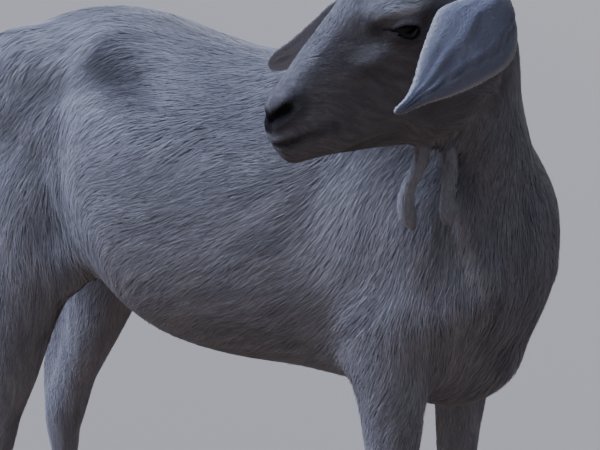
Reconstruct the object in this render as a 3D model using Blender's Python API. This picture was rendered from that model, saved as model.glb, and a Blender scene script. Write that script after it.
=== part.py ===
"""Standing goat with drooping ears and two throat wattles, a life-size still model.

The body is modelled whole from lofted forms and muscle lumps, fused, smoothed and then parted
with thin cuts into head, neck, trunk, tail, ears, wattles and legs. Eyes and claws are solids of
their own. The goat faces +X and stands on the level Z = 0; it looks back over its right shoulder.
"""
import math

import bmesh
import bpy
from mathutils import Matrix, Vector

# Driving sizes, in metres
WITHERS = 0.750           # height of the withers above the floor
RUMP_RISE = 0.034         # the croup stands this much over the withers
CHEST_HALF = 0.126        # half width of the rib cage behind the elbows
BELLY_HALF = 0.162        # half width of the barrel at its widest
LEG_SPREAD = 0.082        # each foot's distance from the middle plane
KNEE_HEIGHT = 0.245
HOCK_HEIGHT = 0.232
FETLOCK_HEIGHT = 0.092
CORONET = 0.031           # height of a claw's top at its middle
CORONET_SLOPE = 0.16      # the top falls this much towards the heel, per metre
CLAW_LENGTH = 0.056
CLAW_WIDTH = 0.0215
CLAW_GAP = 0.0012         # half of the cleft between the two claws of a foot
CLAW_LEAN = 0.42          # the claws lean back this much for each metre of height
EYE_RADIUS = 0.0145
CUT = 0.0004              # width of a parting cut
FUSE_VOXEL = 0.0034       # cell of the fused body
FLESH_PASSES = 60         # softening of the big muscles
SKIN_PASSES = 5           # softening of everything
BODY_FACES = 5600         # triangles left on the fused body

# The head's frame: X towards the nose, Y to the goat's left, Z up, origin between the eyes
HEAD_AT = Vector((0.049, -0.154, 0.735))
HEAD_YAW = math.radians(-126.0)
HEAD_PITCH = math.radians(12.3)
HEAD_ROLL = math.radians(-6.8)
HEAD_TURN = (Matrix.Rotation(HEAD_YAW, 4, "Z") @ Matrix.Rotation(HEAD_PITCH, 4, "Y")
             @ Matrix.Rotation(HEAD_ROLL, 4, "X"))
HEAD = Matrix.Translation(HEAD_AT) @ HEAD_TURN
EYE_AT = Vector((0.000, 0.0405, 0.0545))      # left eye's centre in the head's frame

COAT = (0.55, 0.54, 0.55)
HOOF_HORN = (0.10, 0.085, 0.07)
EYE_AMBER = (0.16, 0.08, 0.03)


def clear_scene():
    for old in list(bpy.data.objects):
        bpy.data.objects.remove(old, do_unlink=True)


def material(name, colour, roughness):
    """Principled material with one plain colour."""
    made = bpy.data.materials.new(name)
    made.use_nodes = True
    shader = made.node_tree.nodes["Principled BSDF"]
    shader.inputs["Base Color"].default_value = (*colour, 1.0)
    shader.inputs["Roughness"].default_value = roughness
    made.diffuse_color = (*colour, 1.0)
    return made


def through(rows, steps):
    """Rows of numbers, with smooth in-between rows on a Catmull-Rom curve."""
    out = []
    last = len(rows) - 1
    for i in range(last):
        before = rows[max(i - 1, 0)]
        here, there = rows[i], rows[i + 1]
        after = rows[min(i + 2, last)]
        for k in range(steps):
            t = k / steps
            out.append([0.5 * (2 * b + (c - a) * t + (2 * a - 5 * b + 4 * c - d) * t * t
                               + (3 * b - a - 3 * c + d) * t ** 3)
                        for a, b, c, d in zip(before, here, there, after)])
    out.append(list(rows[-1]))
    return out


def power(value, exponent):
    """Signed power, which squares up or sharpens a round section."""
    return math.copysign(abs(value) ** exponent, value)


def skin_rings(rings):
    """Closed mesh over a row of rings, with a flat cap at each end."""
    bm = bmesh.new()
    loops = [[bm.verts.new(point) for point in ring] for ring in rings]
    count = len(rings[0])
    for low, high in zip(loops, loops[1:]):
        for i in range(count):
            j = (i + 1) % count
            bm.faces.new((low[i], low[j], high[j], high[i]))
    bm.faces.new(reversed(loops[0]))
    bm.faces.new(loops[-1])
    bmesh.ops.recalc_face_normals(bm, faces=bm.faces)
    return bm


def ring(centre, side, up, half, top, bottom, squareness=0.9, count=28):
    """Section with its own half width, and its own heights above and below its centre."""
    points = []
    for i in range(count):
        angle = math.tau * i / count
        across = power(math.cos(angle), squareness) * half
        rise = power(math.sin(angle), squareness)
        points.append(centre + side * across + up * rise * (top if rise > 0 else bottom))
    return points


def tube(rows, facing=None, steps=6, squareness=1.0):
    """Limb through rows (x, y, z, half depth, half width[, facing]); facing turns its front."""
    full = through(rows, steps)
    centres = [Vector(row[:3]) for row in full]
    rings = []
    for i, row in enumerate(full):
        ahead = centres[min(i + 1, len(full) - 1)] - centres[max(i - 1, 0)]
        angle = math.radians(row[5]) if len(row) > 5 else 0.0
        front = Vector((math.cos(angle), math.sin(angle), 0.0))
        front = (front - ahead.normalized() * front.dot(ahead.normalized())).normalized()
        side = ahead.normalized().cross(front)
        rings.append(ring(centres[i], side, front, row[4], row[3], row[3], squareness))
    return skin_rings(rings)


def lump(centre, radii, turn=(0.0, 0.0, 0.0), frame=None, segments=24):
    """Ellipsoid of muscle or bone, turned by angles in degrees about X, Y and Z."""
    bm = bmesh.new()
    bmesh.ops.create_uvsphere(bm, u_segments=segments, v_segments=segments // 2 + 1, radius=1.0)
    spin = (Matrix.Rotation(math.radians(turn[2]), 4, "Z") @ Matrix.Rotation(math.radians(turn[1]), 4, "Y")
            @ Matrix.Rotation(math.radians(turn[0]), 4, "X"))
    place = Matrix.Translation(Vector(centre)) @ spin @ Matrix.Diagonal((*radii, 1.0))
    bmesh.ops.transform(bm, matrix=(frame or Matrix()) @ place, verts=bm.verts)
    return bm


def mirrored(centre, side):
    """The same point on the left (side 1) or the right (side -1)."""
    return (centre[0], centre[1] * side, centre[2])


def trunk_forms():
    """Rib cage, belly, loin and croup as one loft, then the masses that stand out of it."""
    croup = WITHERS + RUMP_RISE
    # x, top, bottom, half width
    rows = [(0.150, 0.598, 0.540, 0.022), (0.140, 0.628, 0.496, 0.052), (0.112, 0.668, 0.440, 0.078),
            (0.072, 0.708, 0.402, 0.100), (0.020, 0.742, 0.390, 0.114), (-0.040, WITHERS, 0.394, CHEST_HALF),
            (-0.110, 0.743, 0.400, 0.143), (-0.190, 0.741, 0.399, 0.157), (-0.270, 0.757, 0.408, BELLY_HALF),
            (-0.335, 0.776, 0.436, 0.148), (-0.395, croup, 0.484, 0.122), (-0.455, 0.777, 0.515, 0.108),
            (-0.515, 0.756, 0.540, 0.096), (-0.570, 0.730, 0.575, 0.074), (-0.602, 0.700, 0.620, 0.040)]
    rings = []
    for x, top, bottom, half in through(rows, 4):
        middle = bottom + (top - bottom) * 0.46
        rings.append(ring(Vector((x, 0, middle)), Vector((0, 1, 0)), Vector((0, 0, 1)), half,
                          top - middle, middle - bottom, 0.93, 40))
    forms = [skin_rings(rings)]
    forms.append(lump((0.100, 0, 0.540), (0.048, 0.056, 0.085)))                 # breast
    forms.append(lump((0.048, 0, 0.440), (0.080, 0.060, 0.060), (0, -20, 0)))    # brisket
    forms.append(lump((-0.470, 0, 0.505), (0.056, 0.050, 0.046)))                # udder
    for side in (1, -1):
        for centre, radii, roll, pitch in (
                ((-0.012, 0.064, 0.640), (0.056, 0.036, 0.104), 14, 18),     # shoulder blade
                ((0.036, 0.072, 0.566), (0.066, 0.038, 0.105), 0, 32),       # front of the shoulder
                ((0.092, 0.066, 0.530), (0.036, 0.032, 0.050), 0, 0),        # point of the shoulder
                ((0.010, 0.086, 0.490), (0.060, 0.036, 0.064), 0, -28),      # upper arm
                ((-0.350, 0.070, 0.738), (0.034, 0.020, 0.022), 0, 20),      # hook bone
                ((-0.455, 0.066, 0.665), (0.120, 0.046, 0.095), 0, 22),      # rump
                ((-0.572, 0.046, 0.662), (0.034, 0.026, 0.038), 0, 0),       # pin bone
                ((-0.462, 0.024, 0.462), (0.009, 0.009, 0.022), 0, 0)):      # teat
            forms.append(lump(mirrored(centre, side), radii, (roll * side, pitch, 0)))
    return forms


def neck_form():
    """Neck rising from the shoulders and turning with the head; its front is the throat."""
    # x, y, z, half depth, half width, facing in degrees
    return tube([(0.014, 0.000, 0.570, 0.122, 0.074, 0), (0.048, 0.001, 0.620, 0.101, 0.066, -14),
                 (0.071, -0.017, 0.668, 0.082, 0.054, -42), (0.080, -0.044, 0.712, 0.071, 0.048, -76),
                 (0.082, -0.066, 0.750, 0.062, 0.045, -104), (0.071, -0.088, 0.762, 0.048, 0.036, -122)],
                squareness=0.95)


def head_forms():
    """Skull and muzzle as one loft in the head's own frame, with brows, cheeks, lips and chin."""
    # x, top, bottom, half width
    rows = [(-0.114, 0.058, -0.018, 0.022), (-0.095, 0.086, -0.044, 0.039), (-0.058, 0.101, -0.063, 0.045),
            (-0.020, 0.104, -0.066, 0.045), (0.012, 0.094, -0.062, 0.038), (0.038, 0.075, -0.057, 0.031),
            (0.062, 0.056, -0.053, 0.0270), (0.085, 0.036, -0.051, 0.0255), (0.101, 0.021, -0.048, 0.024),
            (0.112, 0.010, -0.042, 0.020), (0.118, 0.001, -0.032, 0.014), (0.1205, -0.007, -0.018, 0.006)]
    axes = HEAD.to_3x3()
    rings = []
    for x, top, bottom, half in through(rows, 4):
        middle = (top + bottom) / 2
        rings.append(ring(HEAD @ Vector((x, 0, middle)), axes.col[1], axes.col[2], half,
                          top - middle, middle - bottom, 0.86, 32))
    forms = [skin_rings(rings)]
    forms.append(lump((-0.062, 0, 0.076), (0.048, 0.034, 0.034), (0, -8, 0), HEAD))       # poll
    forms.append(lump((0.099, 0, 0.002), (0.0195, 0.0225, 0.0175), (0, 34, 0), HEAD))     # nose pad
    forms.append(lump((0.096, 0, -0.040), (0.018, 0.0185, 0.0125), (0, 12, 0), HEAD))     # chin
    for side in (1, -1):
        for centre, radii, pitch, yaw in (
                ((-0.006, 0.036, 0.0700), (0.034, 0.0175, 0.0165), 6, -10),      # brow
                ((0.008, 0.032, 0.0345), (0.038, 0.0135, 0.0120), 14, -12),      # cheekbone
                ((-0.038, 0.034, -0.012), (0.046, 0.0160, 0.0460), 18, 0),       # cheek
                ((0.094, 0.0135, -0.003), (0.020, 0.0125, 0.0130), 26, 0),       # nostril wing
                ((0.080, 0.0125, -0.025), (0.034, 0.0140, 0.0125), 6, -8),       # upper lip
                ((-0.080, 0.036, 0.058), (0.024, 0.0220, 0.0260), 0, 0)):        # root of the ear
            forms.append(lump(mirrored(centre, side), radii, (0, pitch, yaw * side), HEAD))
    return forms


def blade(rows, side, frame, steps=5, count=12):
    """Cupped leaf through rows (front margin x, y, z, rear margin x, y, z, half thickness, cup)."""
    full = through(rows, steps)
    fronts = [Vector((row[0], row[1] * side, row[2])) for row in full]
    rears = [Vector((row[3], row[4] * side, row[5])) for row in full]
    middles = [(front + rear) / 2 for front, rear in zip(fronts, rears)]
    rings = []
    for i, row in enumerate(full):
        ahead = (middles[min(i + 1, len(full) - 1)] - middles[max(i - 1, 0)]).normalized()
        half = (fronts[i] - rears[i]) / 2
        outwards = ahead.cross(half).normalized() * side
        points = []
        for k in range(2 * count):
            angle = math.tau * k / (2 * count)
            across = math.cos(angle)
            lift = row[7] * (1 - across * across) + row[6] * power(math.sin(angle), 0.7)
            points.append(frame @ (middles[i] + half * across + outwards * lift))
        rings.append(points)
    return skin_rings(rings)


def ear_form(side):
    """Broad drooping ear: it leaves the head behind the eye and hangs forwards and outwards."""
    if side > 0:
        rows = [(-0.080, 0.036, 0.066, -0.102, 0.044, 0.046, 0.0090, 0.000),
                (-0.060, 0.052, 0.068, -0.099, 0.066, 0.036, 0.0070, 0.006),
                (-0.032, 0.060, 0.067, -0.092, 0.078, 0.024, 0.0054, 0.010),
                (-0.014, 0.073, 0.056, -0.078, 0.088, 0.013, 0.0048, 0.011),
                (-0.002, 0.083, 0.047, -0.058, 0.096, 0.009, 0.0046, 0.010),
                (0.009, 0.092, 0.037, -0.034, 0.103, 0.007, 0.0046, 0.008),
                (0.022, 0.104, 0.025, -0.006, 0.110, 0.007, 0.0045, 0.005),
                (0.037, 0.115, 0.017, 0.022, 0.116, 0.006, 0.0042, 0.002),
                (0.053, 0.123, 0.014, 0.047, 0.121, 0.005, 0.0036, 0.000)]
    else:               # the right ear is carried further forwards, and its tip is spread
        rows = [(-0.080, 0.036, 0.066, -0.102, 0.044, 0.046, 0.0090, 0.000),
                (-0.060, 0.053, 0.070, -0.098, 0.065, 0.036, 0.0070, 0.006),
                (-0.032, 0.062, 0.071, -0.092, 0.077, 0.025, 0.0054, 0.010),
                (-0.008, 0.070, 0.067, -0.078, 0.088, 0.014, 0.0048, 0.011),
                (0.010, 0.080, 0.058, -0.056, 0.099, 0.008, 0.0046, 0.010),
                (0.027, 0.098, 0.040, -0.030, 0.111, 0.002, 0.0046, 0.008),
                (0.044, 0.114, 0.024, 0.000, 0.124, -0.004, 0.0045, 0.005),
                (0.058, 0.125, 0.014, 0.032, 0.136, -0.010, 0.0042, 0.002),
                (0.067, 0.133, 0.004, 0.056, 0.143, -0.011, 0.0036, 0.000)]
    return blade(rows, side, HEAD)


def limb_forms():
    """All four legs above the claws; depth is fore and aft, width is across."""
    forms = []
    for side, near in ((1, 0.000), (-1, 0.006)):
        y = LEG_SPREAD * side
        # x, y, z, half depth, half width
        fore = [(-0.004, 0.084 * side, 0.500, 0.050, 0.034), (0.010, 0.086 * side, 0.440, 0.043, 0.031),
                (0.016, 0.084 * side, 0.385, 0.036, 0.027), (0.014, y, 0.320, 0.0285, 0.0225),
                (0.014, y, KNEE_HEIGHT + 0.026, 0.0235, 0.0215), (0.017, y, KNEE_HEIGHT, 0.0255, 0.0230),
                (0.010, y, KNEE_HEIGHT - 0.034, 0.0195, 0.0180), (0.006, y, 0.160, 0.0165, 0.0150),
                (0.004, y, FETLOCK_HEIGHT + 0.022, 0.0175, 0.0160),
                (0.004, y, FETLOCK_HEIGHT, 0.0215, 0.0200),
                (0.012, y, 0.066, 0.0180, 0.0190), (0.022, y, 0.046, 0.0185, 0.0200),
                (0.030, y, 0.020, 0.0230, 0.0225)]
        forms.append(tube([(x + near, *rest) for x, *rest in fore]))
        forms.append(lump((-0.022 + near, 0.090 * side, 0.446), (0.024, 0.020, 0.030)))             # elbow
        hind = [(-0.480, 0.062 * side, 0.640, 0.100, 0.044), (-0.480, 0.080 * side, 0.560, 0.096, 0.050),
                (-0.494, 0.088 * side, 0.490, 0.088, 0.045), (-0.512, 0.089 * side, 0.420, 0.065, 0.037),
                (-0.530, 0.084 * side, 0.350, 0.044, 0.0300), (-0.554, 0.079 * side, 0.290, 0.0335, 0.0240),
                (-0.577, 0.078 * side, HOCK_HEIGHT, 0.0345, 0.0225),
                (-0.582, 0.078 * side, HOCK_HEIGHT - 0.034, 0.0270, 0.0200),
                (-0.582, 0.080 * side, 0.150, 0.0185, 0.0160), (-0.583, y, FETLOCK_HEIGHT + 0.024, 0.0185, 0.0165),
                (-0.584, y, FETLOCK_HEIGHT, 0.0220, 0.0200), (-0.576, y, 0.066, 0.0180, 0.0190),
                (-0.566, y, 0.046, 0.0185, 0.0200), (-0.558, y, 0.020, 0.0230, 0.0225)]
        ahead = 3.0 * near
        forms.append(tube([(x + ahead * ramp(0.64 - z, 0.0, 0.3), y, z, deep, wide)
                           for x, y, z, deep, wide in hind]))
        for centre, radii, pitch in (
                ((-0.420 + ahead * 0.4, 0.092 * side, 0.506), (0.044, 0.028, 0.064), -20),           # stifle
                ((-0.600 + ahead, 0.078 * side, HOCK_HEIGHT + 0.026), (0.015, 0.012, 0.046), -10),   # hock
                ((-0.552 + ahead * 0.3, 0.068 * side, 0.545), (0.046, 0.042, 0.120), 4)):            # buttock
            forms.append(lump(centre, radii, (0, pitch, 0)))
    return forms


def tail_form():
    """Short tail, broad and flat, hanging behind the croup."""
    return tube([(-0.560, 0, 0.712, 0.022, 0.026), (-0.600, 0, 0.715, 0.018, 0.023),
                 (-0.628, 0, 0.702, 0.015, 0.027), (-0.644, 0, 0.674, 0.012, 0.026),
                 (-0.650, 0, 0.644, 0.010, 0.018), (-0.652, 0, 0.622, 0.005, 0.008)])


def wattle_top(side):
    return Vector((0.094, -0.112, 0.652)) if side > 0 else Vector((0.070, -0.124, 0.655))


def wattle_form(side):
    """Soft lobe of skin hanging from the throat; the right one swings away from the neck."""
    top = wattle_top(side)
    lean = 0.09 if side > 0 else -0.16
    rows = [(top.x + lean * drop, top.y - 0.10 * drop, top.z - drop, radius, radius)
            for drop, radius in ((-0.022, 0.0095), (0.000, 0.0068), (0.022, 0.0056), (0.038, 0.0060),
                                 (0.050, 0.0062), (0.057, 0.0036))]
    return tube(rows)


def joined(name, forms):
    """One object that holds all the given forms as they are."""
    whole = bmesh.new()
    for form in forms:
        scratch = bpy.data.meshes.new("scratch")
        form.to_mesh(scratch)
        form.free()
        whole.from_mesh(scratch)
        bpy.data.meshes.remove(scratch)
    mesh = bpy.data.meshes.new(name)
    whole.to_mesh(mesh)
    whole.free()
    made = bpy.data.objects.new(name, mesh)
    bpy.context.collection.objects.link(made)
    return made


def baked(thing):
    """Replace an object's mesh by what its modifiers make of it."""
    graph = bpy.context.evaluated_depsgraph_get()
    mesh = bpy.data.meshes.new_from_object(thing.evaluated_get(graph))
    thing.modifiers.clear()
    thing.data = mesh
    return thing


def ramp(value, low, high):
    """0 below low, 1 above high, and straight between them."""
    return min(1.0, max(0.0, (value - low) / (high - low)))


def weigh(body, name, rule):
    """Vertex group whose weight at each point comes from a rule on its place."""
    group = body.vertex_groups.new(name=name)
    for vertex in body.data.vertices:
        group.add((vertex.index,), rule(vertex.co), "REPLACE")
    return name


def off_head(point):
    """0 on the head, ears and wattles, 1 beyond the neck's middle."""
    return ramp((point - HEAD_AT).length, 0.13, 0.19)


def fleshy(point):
    """Where muscle flows smoothly: the trunk, thighs and upper arms, not the head and lower legs."""
    return off_head(point) * ramp(point.z, 0.36, 0.48)


def plain(point):
    """Where few faces are enough: away from the head and the feet."""
    return 0.15 + 0.85 * off_head(point) * ramp(point.z, 0.02, 0.12)


def fuse(body):
    """Melt the overlapping forms into one surface, soften its creases, and thin out its faces."""
    melt = body.modifiers.new("melt", "REMESH")
    melt.mode = "VOXEL"
    melt.voxel_size = FUSE_VOXEL
    baked(body)
    weigh(body, "flesh", fleshy)
    for name, passes, group in (("flow", FLESH_PASSES, "flesh"), ("soften", SKIN_PASSES, "")):
        soft = body.modifiers.new(name, "SMOOTH")
        soft.factor = 0.5
        soft.iterations = passes
        soft.vertex_group = group
    baked(body)
    weigh(body, "plain", plain)
    thin = body.modifiers.new("thin", "DECIMATE")
    thin.ratio = BODY_FACES / len(body.data.polygons) / 2
    thin.use_collapse_triangulate = True
    thin.vertex_group = "plain"
    thin.vertex_group_factor = 0.04
    return baked(body)


def cutter(name, mesh_maker):
    """Hidden helper whose volume is taken out of the body."""
    made = joined(name, mesh_maker)
    made.hide_render = True
    made.display_type = "WIRE"
    return made


def plate(centre, normal, along, half_long, half_wide, frame=None):
    """Thin oval plate for a parting cut, square to normal, its long half size along the given way."""
    bm = bmesh.new()
    bmesh.ops.create_cone(bm, cap_ends=True, segments=24, radius1=1.0, radius2=1.0, depth=CUT)
    up = Vector(normal).normalized()
    long_way = Vector(along)
    long_way = (long_way - up * long_way.dot(up)).normalized()
    turn = Matrix((long_way, up.cross(long_way), up)).transposed().to_4x4()
    place = Matrix.Translation(Vector(centre)) @ turn @ Matrix.Diagonal((half_long, half_wide, 1.0, 1.0))
    bmesh.ops.transform(bm, matrix=(frame or Matrix()) @ place, verts=bm.verts)
    return bm


def parting_plates():
    """The plates that divide the body: neck, head, tail, ears, wattles and legs."""
    plates = [plate((0.075, -0.020, 0.688), (0.66, -0.42, 0.62), (0.143, -0.030, -0.157), 0.150, 0.105),
              plate((-0.083, -0.019, -0.0147), (0.67, 0.29, 0.69), (0, 1, 0), 0.066, 0.080, HEAD),
              plate((-0.616, 0.0, 0.704), (1.0, 0.0, 0.30), (0, 1, 0), 0.042, 0.034)]
    for side in (1, -1):
        plates.append(plate((-0.078, 0.068 * side, 0.052), (0.40, 0.85 * side, 0.34), (0, 0, 1),
                            0.042, 0.042, HEAD))
        top = wattle_top(side)
        plates.append(plate((top.x, top.y, top.z - 0.006), (0, 0.3, 1), (1, 0, 0), 0.012, 0.012))
        plates.append(plate((0.018, 0.092 * side, 0.392), (0, 0.12 * side, 1), (1, 0, 0), 0.075, 0.046))
        plates.append(plate((0.014, LEG_SPREAD * side, KNEE_HEIGHT + 0.040), (0, 0, 1), (1, 0, 0), 0.045, 0.040))
        plates.append(plate((-0.486, 0.094 * side, 0.430), (-0.22, 0.0, 1), (1, 0, 0), 0.110, 0.066))
        plates.append(plate((-0.545, LEG_SPREAD * side, HOCK_HEIGHT + 0.064), (0, 0, 1), (1, 0, 0),
                            0.070, 0.050))
    return plates


def foot_places():
    """Name, middle of the claws and side of each foot."""
    for end, x, ahead in (("fore", 0.041, 0.006), ("hind", -0.548, 0.018)):
        for word, side in (("left", 1), ("right", -1)):
            yield end + "_" + word, x + ahead * (side < 0), LEG_SPREAD * side, end


def claw(foot_x, foot_y, side):
    """One toe of a cloven hoof: flat sole, upright inner wall, and a toe that slopes back to the coronet."""
    rings = []
    # share of the height, then of the sole's length and width
    for share, length, width in ((0.0, 1.00, 1.00), (0.5, 0.95, 0.96), (1.0, 0.80, 0.88)):
        points = []
        for k in range(12):
            angle = math.tau * k / 12
            along = power(math.cos(angle), 0.75)
            across = power(math.sin(angle), 0.65)
            taper = 1.0 - 0.45 * ramp(along, 0.1, 1.0) ** 1.5
            reach = CLAW_LENGTH * length * along / 2 - CLAW_LEAN * CORONET * share
            rise = share * (CORONET + CORONET_SLOPE * reach)
            spread = CLAW_GAP + CLAW_WIDTH / 2 * width * (1 + across * taper)
            points.append(Vector((foot_x + reach, foot_y + side * spread, rise)))
        rings.append(points)
    return skin_rings(rings)


def coronet_block(foot_x, foot_y):
    """Everything under the top of a foot's claws, to be cut off the leg."""
    bm = bmesh.new()
    bmesh.ops.create_cube(bm, size=1.0)
    half = 0.050
    for vertex in bm.verts:
        x = vertex.co.x * 2 * half
        top = CORONET + CUT + CORONET_SLOPE * x
        bottom_or_top = top if vertex.co.z > 0 else -0.02
        vertex.co = Vector((foot_x + x, foot_y + vertex.co.y * 2 * half * 0.7, bottom_or_top))
    return bm


def dewclaw(foot_x, foot_y, side, end, extra):
    """Small horn knob behind the fetlock; extra makes it larger, to cut its bed in the leg."""
    behind = 0.056 if end == "fore" else 0.055
    return lump((foot_x - behind, foot_y + 0.0115 * side, FETLOCK_HEIGHT - 0.016),
                (0.0070 + extra, 0.0055 + extra, 0.0105 + extra), (0, 25, 0), segments=8)


def eye_form(side, extra):
    bm = bmesh.new()
    size = EYE_RADIUS + extra
    bmesh.ops.create_icosphere(bm, subdivisions=3, radius=size)
    bmesh.ops.translate(bm, vec=HEAD @ Vector(mirrored(EYE_AT, side)), verts=bm.verts)
    return bm


def part_body(body):
    """Cut the body with all its cutters, then give every loose piece its name."""
    tools = parting_plates() + [eye_form(side, CUT) for side in (1, -1)]
    for name, x, y, end in foot_places():
        tools.append(coronet_block(x, y))
        tools += [dewclaw(x, y, side, end, CUT) for side in (1, -1)]
    knife = cutter("parting_cutter", tools)
    cut = body.modifiers.new("part", "BOOLEAN")
    cut.operation = "DIFFERENCE"
    cut.object = knife
    cut.use_self = True
    baked(body)
    bpy.data.objects.remove(knife, do_unlink=True)
    split_by_name(body)


def piece_marks():
    """A point on each flesh piece, by which its loose mesh is found."""
    marks = {"trunk": Vector((-0.19, 0, 0.74)), "neck": Vector((0.13, -0.06, 0.70)),
             "tail": Vector((-0.655, 0, 0.64)), "head": HEAD @ Vector((0.06, 0, 0.056))}
    for word, side in (("left", 1), ("right", -1)):
        marks["ear_" + word] = HEAD @ Vector((-0.01, 0.100 * side, 0.03))
        marks["wattle_" + word] = wattle_top(side) - Vector((0, 0, 0.035))
        marks["forearm_" + word] = Vector((0.045, LEG_SPREAD * side, 0.33))
        marks["fore_cannon_" + word] = Vector((0.006, LEG_SPREAD * side, 0.150))
        marks["thigh_" + word] = Vector((-0.49, 0.10 * side, 0.36))
        marks["hind_cannon_" + word] = Vector((-0.575, LEG_SPREAD * side, 0.150))
    return marks


def split_by_name(body):
    """Separate the loose meshes of the body and name each after the mark that lies nearest to it."""
    whole = bmesh.new()
    whole.from_mesh(body.data)
    islands, seen = [], set()
    for start in whole.verts:
        if start.index in seen:
            continue
        stack, island = [start], []
        seen.add(start.index)
        while stack:
            vertex = stack.pop()
            island.append(vertex)
            for edge in vertex.link_edges:
                other = edge.other_vert(vertex)
                if other.index not in seen:
                    seen.add(other.index)
                    stack.append(other)
        islands.append(island)
    for name, mark in piece_marks().items():
        nearest = min(islands, key=lambda island: min((v.co - mark).length_squared for v in island))
        islands.remove(nearest)
        keep = {vertex.index for vertex in nearest}
        piece = whole.copy()
        piece.verts.ensure_lookup_table()
        bmesh.ops.delete(piece, geom=[v for v in piece.verts if v.index not in keep], context="VERTS")
        mesh = bpy.data.meshes.new(name)
        piece.to_mesh(mesh)
        piece.free()
        mesh.shade_smooth()
        mesh.materials.append(bpy.data.materials["short coat"])
        made = bpy.data.objects.new(name, mesh)
        bpy.context.collection.objects.link(made)
    whole.free()
    bpy.data.objects.remove(body, do_unlink=True)


def add_piece(name, form, finish):
    made = joined(name, [form])
    made.data.shade_smooth()
    made.data.materials.append(finish)
    return made


def add_eyes_and_claws():
    """The solids that are not flesh."""
    amber = material("amber eye", EYE_AMBER, 0.12)
    horn = material("hoof horn", HOOF_HORN, 0.45)
    for word, side in (("left", 1), ("right", -1)):
        add_piece("eye_" + word, eye_form(side, 0.0), amber)
    for name, x, y, end in foot_places():
        for word, side in (("outer", 1 if y > 0 else -1), ("inner", -1 if y > 0 else 1)):
            add_piece("claw_" + name + "_" + word, claw(x, y, side), horn)
            add_piece("dewclaw_" + name + "_" + word, dewclaw(x, y, side, end, 0.0), horn)


def centre_on_floor():
    """Move everything so that the middle of the model's plan is over the origin."""
    things = list(bpy.context.scene.objects)
    corners = [thing.matrix_world @ Vector(corner) for thing in things for corner in thing.bound_box]
    middle = Vector((0.0, 0.0, 0.0))
    for axis in (0, 1):
        reach = [corner[axis] for corner in corners]
        middle[axis] = (min(reach) + max(reach)) / 2
    for thing in things:
        thing.data.transform(Matrix.Translation(-middle))


def main():
    clear_scene()
    forms = trunk_forms() + [neck_form()] + head_forms() + limb_forms() + [tail_form()]
    forms += [ear_form(1), ear_form(-1), wattle_form(1), wattle_form(-1)]
    body = fuse(joined("body", forms))
    material("short coat", COAT, 0.8)
    part_body(body)
    add_eyes_and_claws()
    centre_on_floor()


main()
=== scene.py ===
"""Looks of a standing, lop-eared goat that turns its head back over its right shoulder.

A pale hide covers the whole animal and carries a short, flat coat of many small locks. Eyes, claws
and dewclaws are pieces of their own. Sizes are in metres.
"""
import math

import bmesh
import bpy
import numpy as np
from mathutils import Matrix, Vector
from mathutils.kdtree import KDTree


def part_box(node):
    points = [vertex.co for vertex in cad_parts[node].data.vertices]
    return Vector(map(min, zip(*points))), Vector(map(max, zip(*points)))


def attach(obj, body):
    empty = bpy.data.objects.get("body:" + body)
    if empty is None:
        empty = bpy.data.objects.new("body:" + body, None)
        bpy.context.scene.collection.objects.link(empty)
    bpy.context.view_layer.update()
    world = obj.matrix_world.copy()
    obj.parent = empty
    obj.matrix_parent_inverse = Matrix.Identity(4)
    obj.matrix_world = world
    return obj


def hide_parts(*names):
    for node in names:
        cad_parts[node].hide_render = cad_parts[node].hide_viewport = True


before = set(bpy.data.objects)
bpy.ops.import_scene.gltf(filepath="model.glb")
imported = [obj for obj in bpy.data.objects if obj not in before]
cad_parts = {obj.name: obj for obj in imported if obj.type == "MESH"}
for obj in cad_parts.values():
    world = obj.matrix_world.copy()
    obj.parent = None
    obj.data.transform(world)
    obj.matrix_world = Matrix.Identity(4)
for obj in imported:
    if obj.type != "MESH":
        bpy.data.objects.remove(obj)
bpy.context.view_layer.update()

# ---------------------------------------------------------------------------------------------
# Hide. One skin over trunk, neck, head, ears, wattles, tail and legs, drawn over fused copies of
# their solids. It lies under the tips of the coat, and shows bare only at nose, lips and lid rims.
# ---------------------------------------------------------------------------------------------
FUSED = ["trunk", "neck", "head", "tail"] + [part + side for side in ("left", "right") for part in (
    "forearm_", "fore_cannon_", "thigh_", "hind_cannon_")]
LOOSE = ["ear_left", "ear_right", "wattle_left", "wattle_right"]
HIDE_CELL = 0.0054            # grain of the fused hide before the head is made finer
BODY_DEPTH = 0.0022           # the hide lies this deep under the tips of the coat
FACE_DEPTH = 0.0008
EYE_IN_HEAD = Vector((0.0, 0.0405, 0.0545))
EYE_RADIUS = 0.0145
EYE_SET_BACK = Vector((-0.0040, 0.0005, 0.0))   # the finished ball sits further back in its socket
EYE_CENTRE = np.array(EYE_IN_HEAD + EYE_SET_BACK)
HEAD_FROM_WITHERS = Vector((0.049, -0.154, 0.735))
HEAD_TURN, HEAD_NOD, HEAD_TILT = (math.radians(angle) for angle in (-126.0, 12.3, -6.8))

# The head's frame: X to the nose, Y to the goat's left, Z up, its origin between the eyes.
# The body's frame has the same X, Y and Z as the floor, with its origin below the withers.
head_turn = (Matrix.Rotation(HEAD_TURN, 3, "Z") @ Matrix.Rotation(HEAD_NOD, 3, "Y")
             @ Matrix.Rotation(HEAD_TILT, 3, "X"))
eye_low, eye_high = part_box("eye_left")
head_place = (eye_low + eye_high) / 2 - head_turn @ EYE_IN_HEAD
body_place = head_place - HEAD_FROM_WITHERS
HEAD_AXES = np.array(head_turn)
HEAD_ORIGIN = np.array(head_place)
BODY_ORIGIN = np.array(body_place)
NECK_BEGINS, NECK_ONLY = 0.074, 0.094           # distances from the core of the head


def in_head(points):
    """Points in the head's frame."""
    return (points - HEAD_ORIGIN) @ HEAD_AXES


def from_head(points):
    """Points of the head's frame, set in place."""
    return np.asarray(points) @ HEAD_AXES.T + HEAD_ORIGIN


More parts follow.
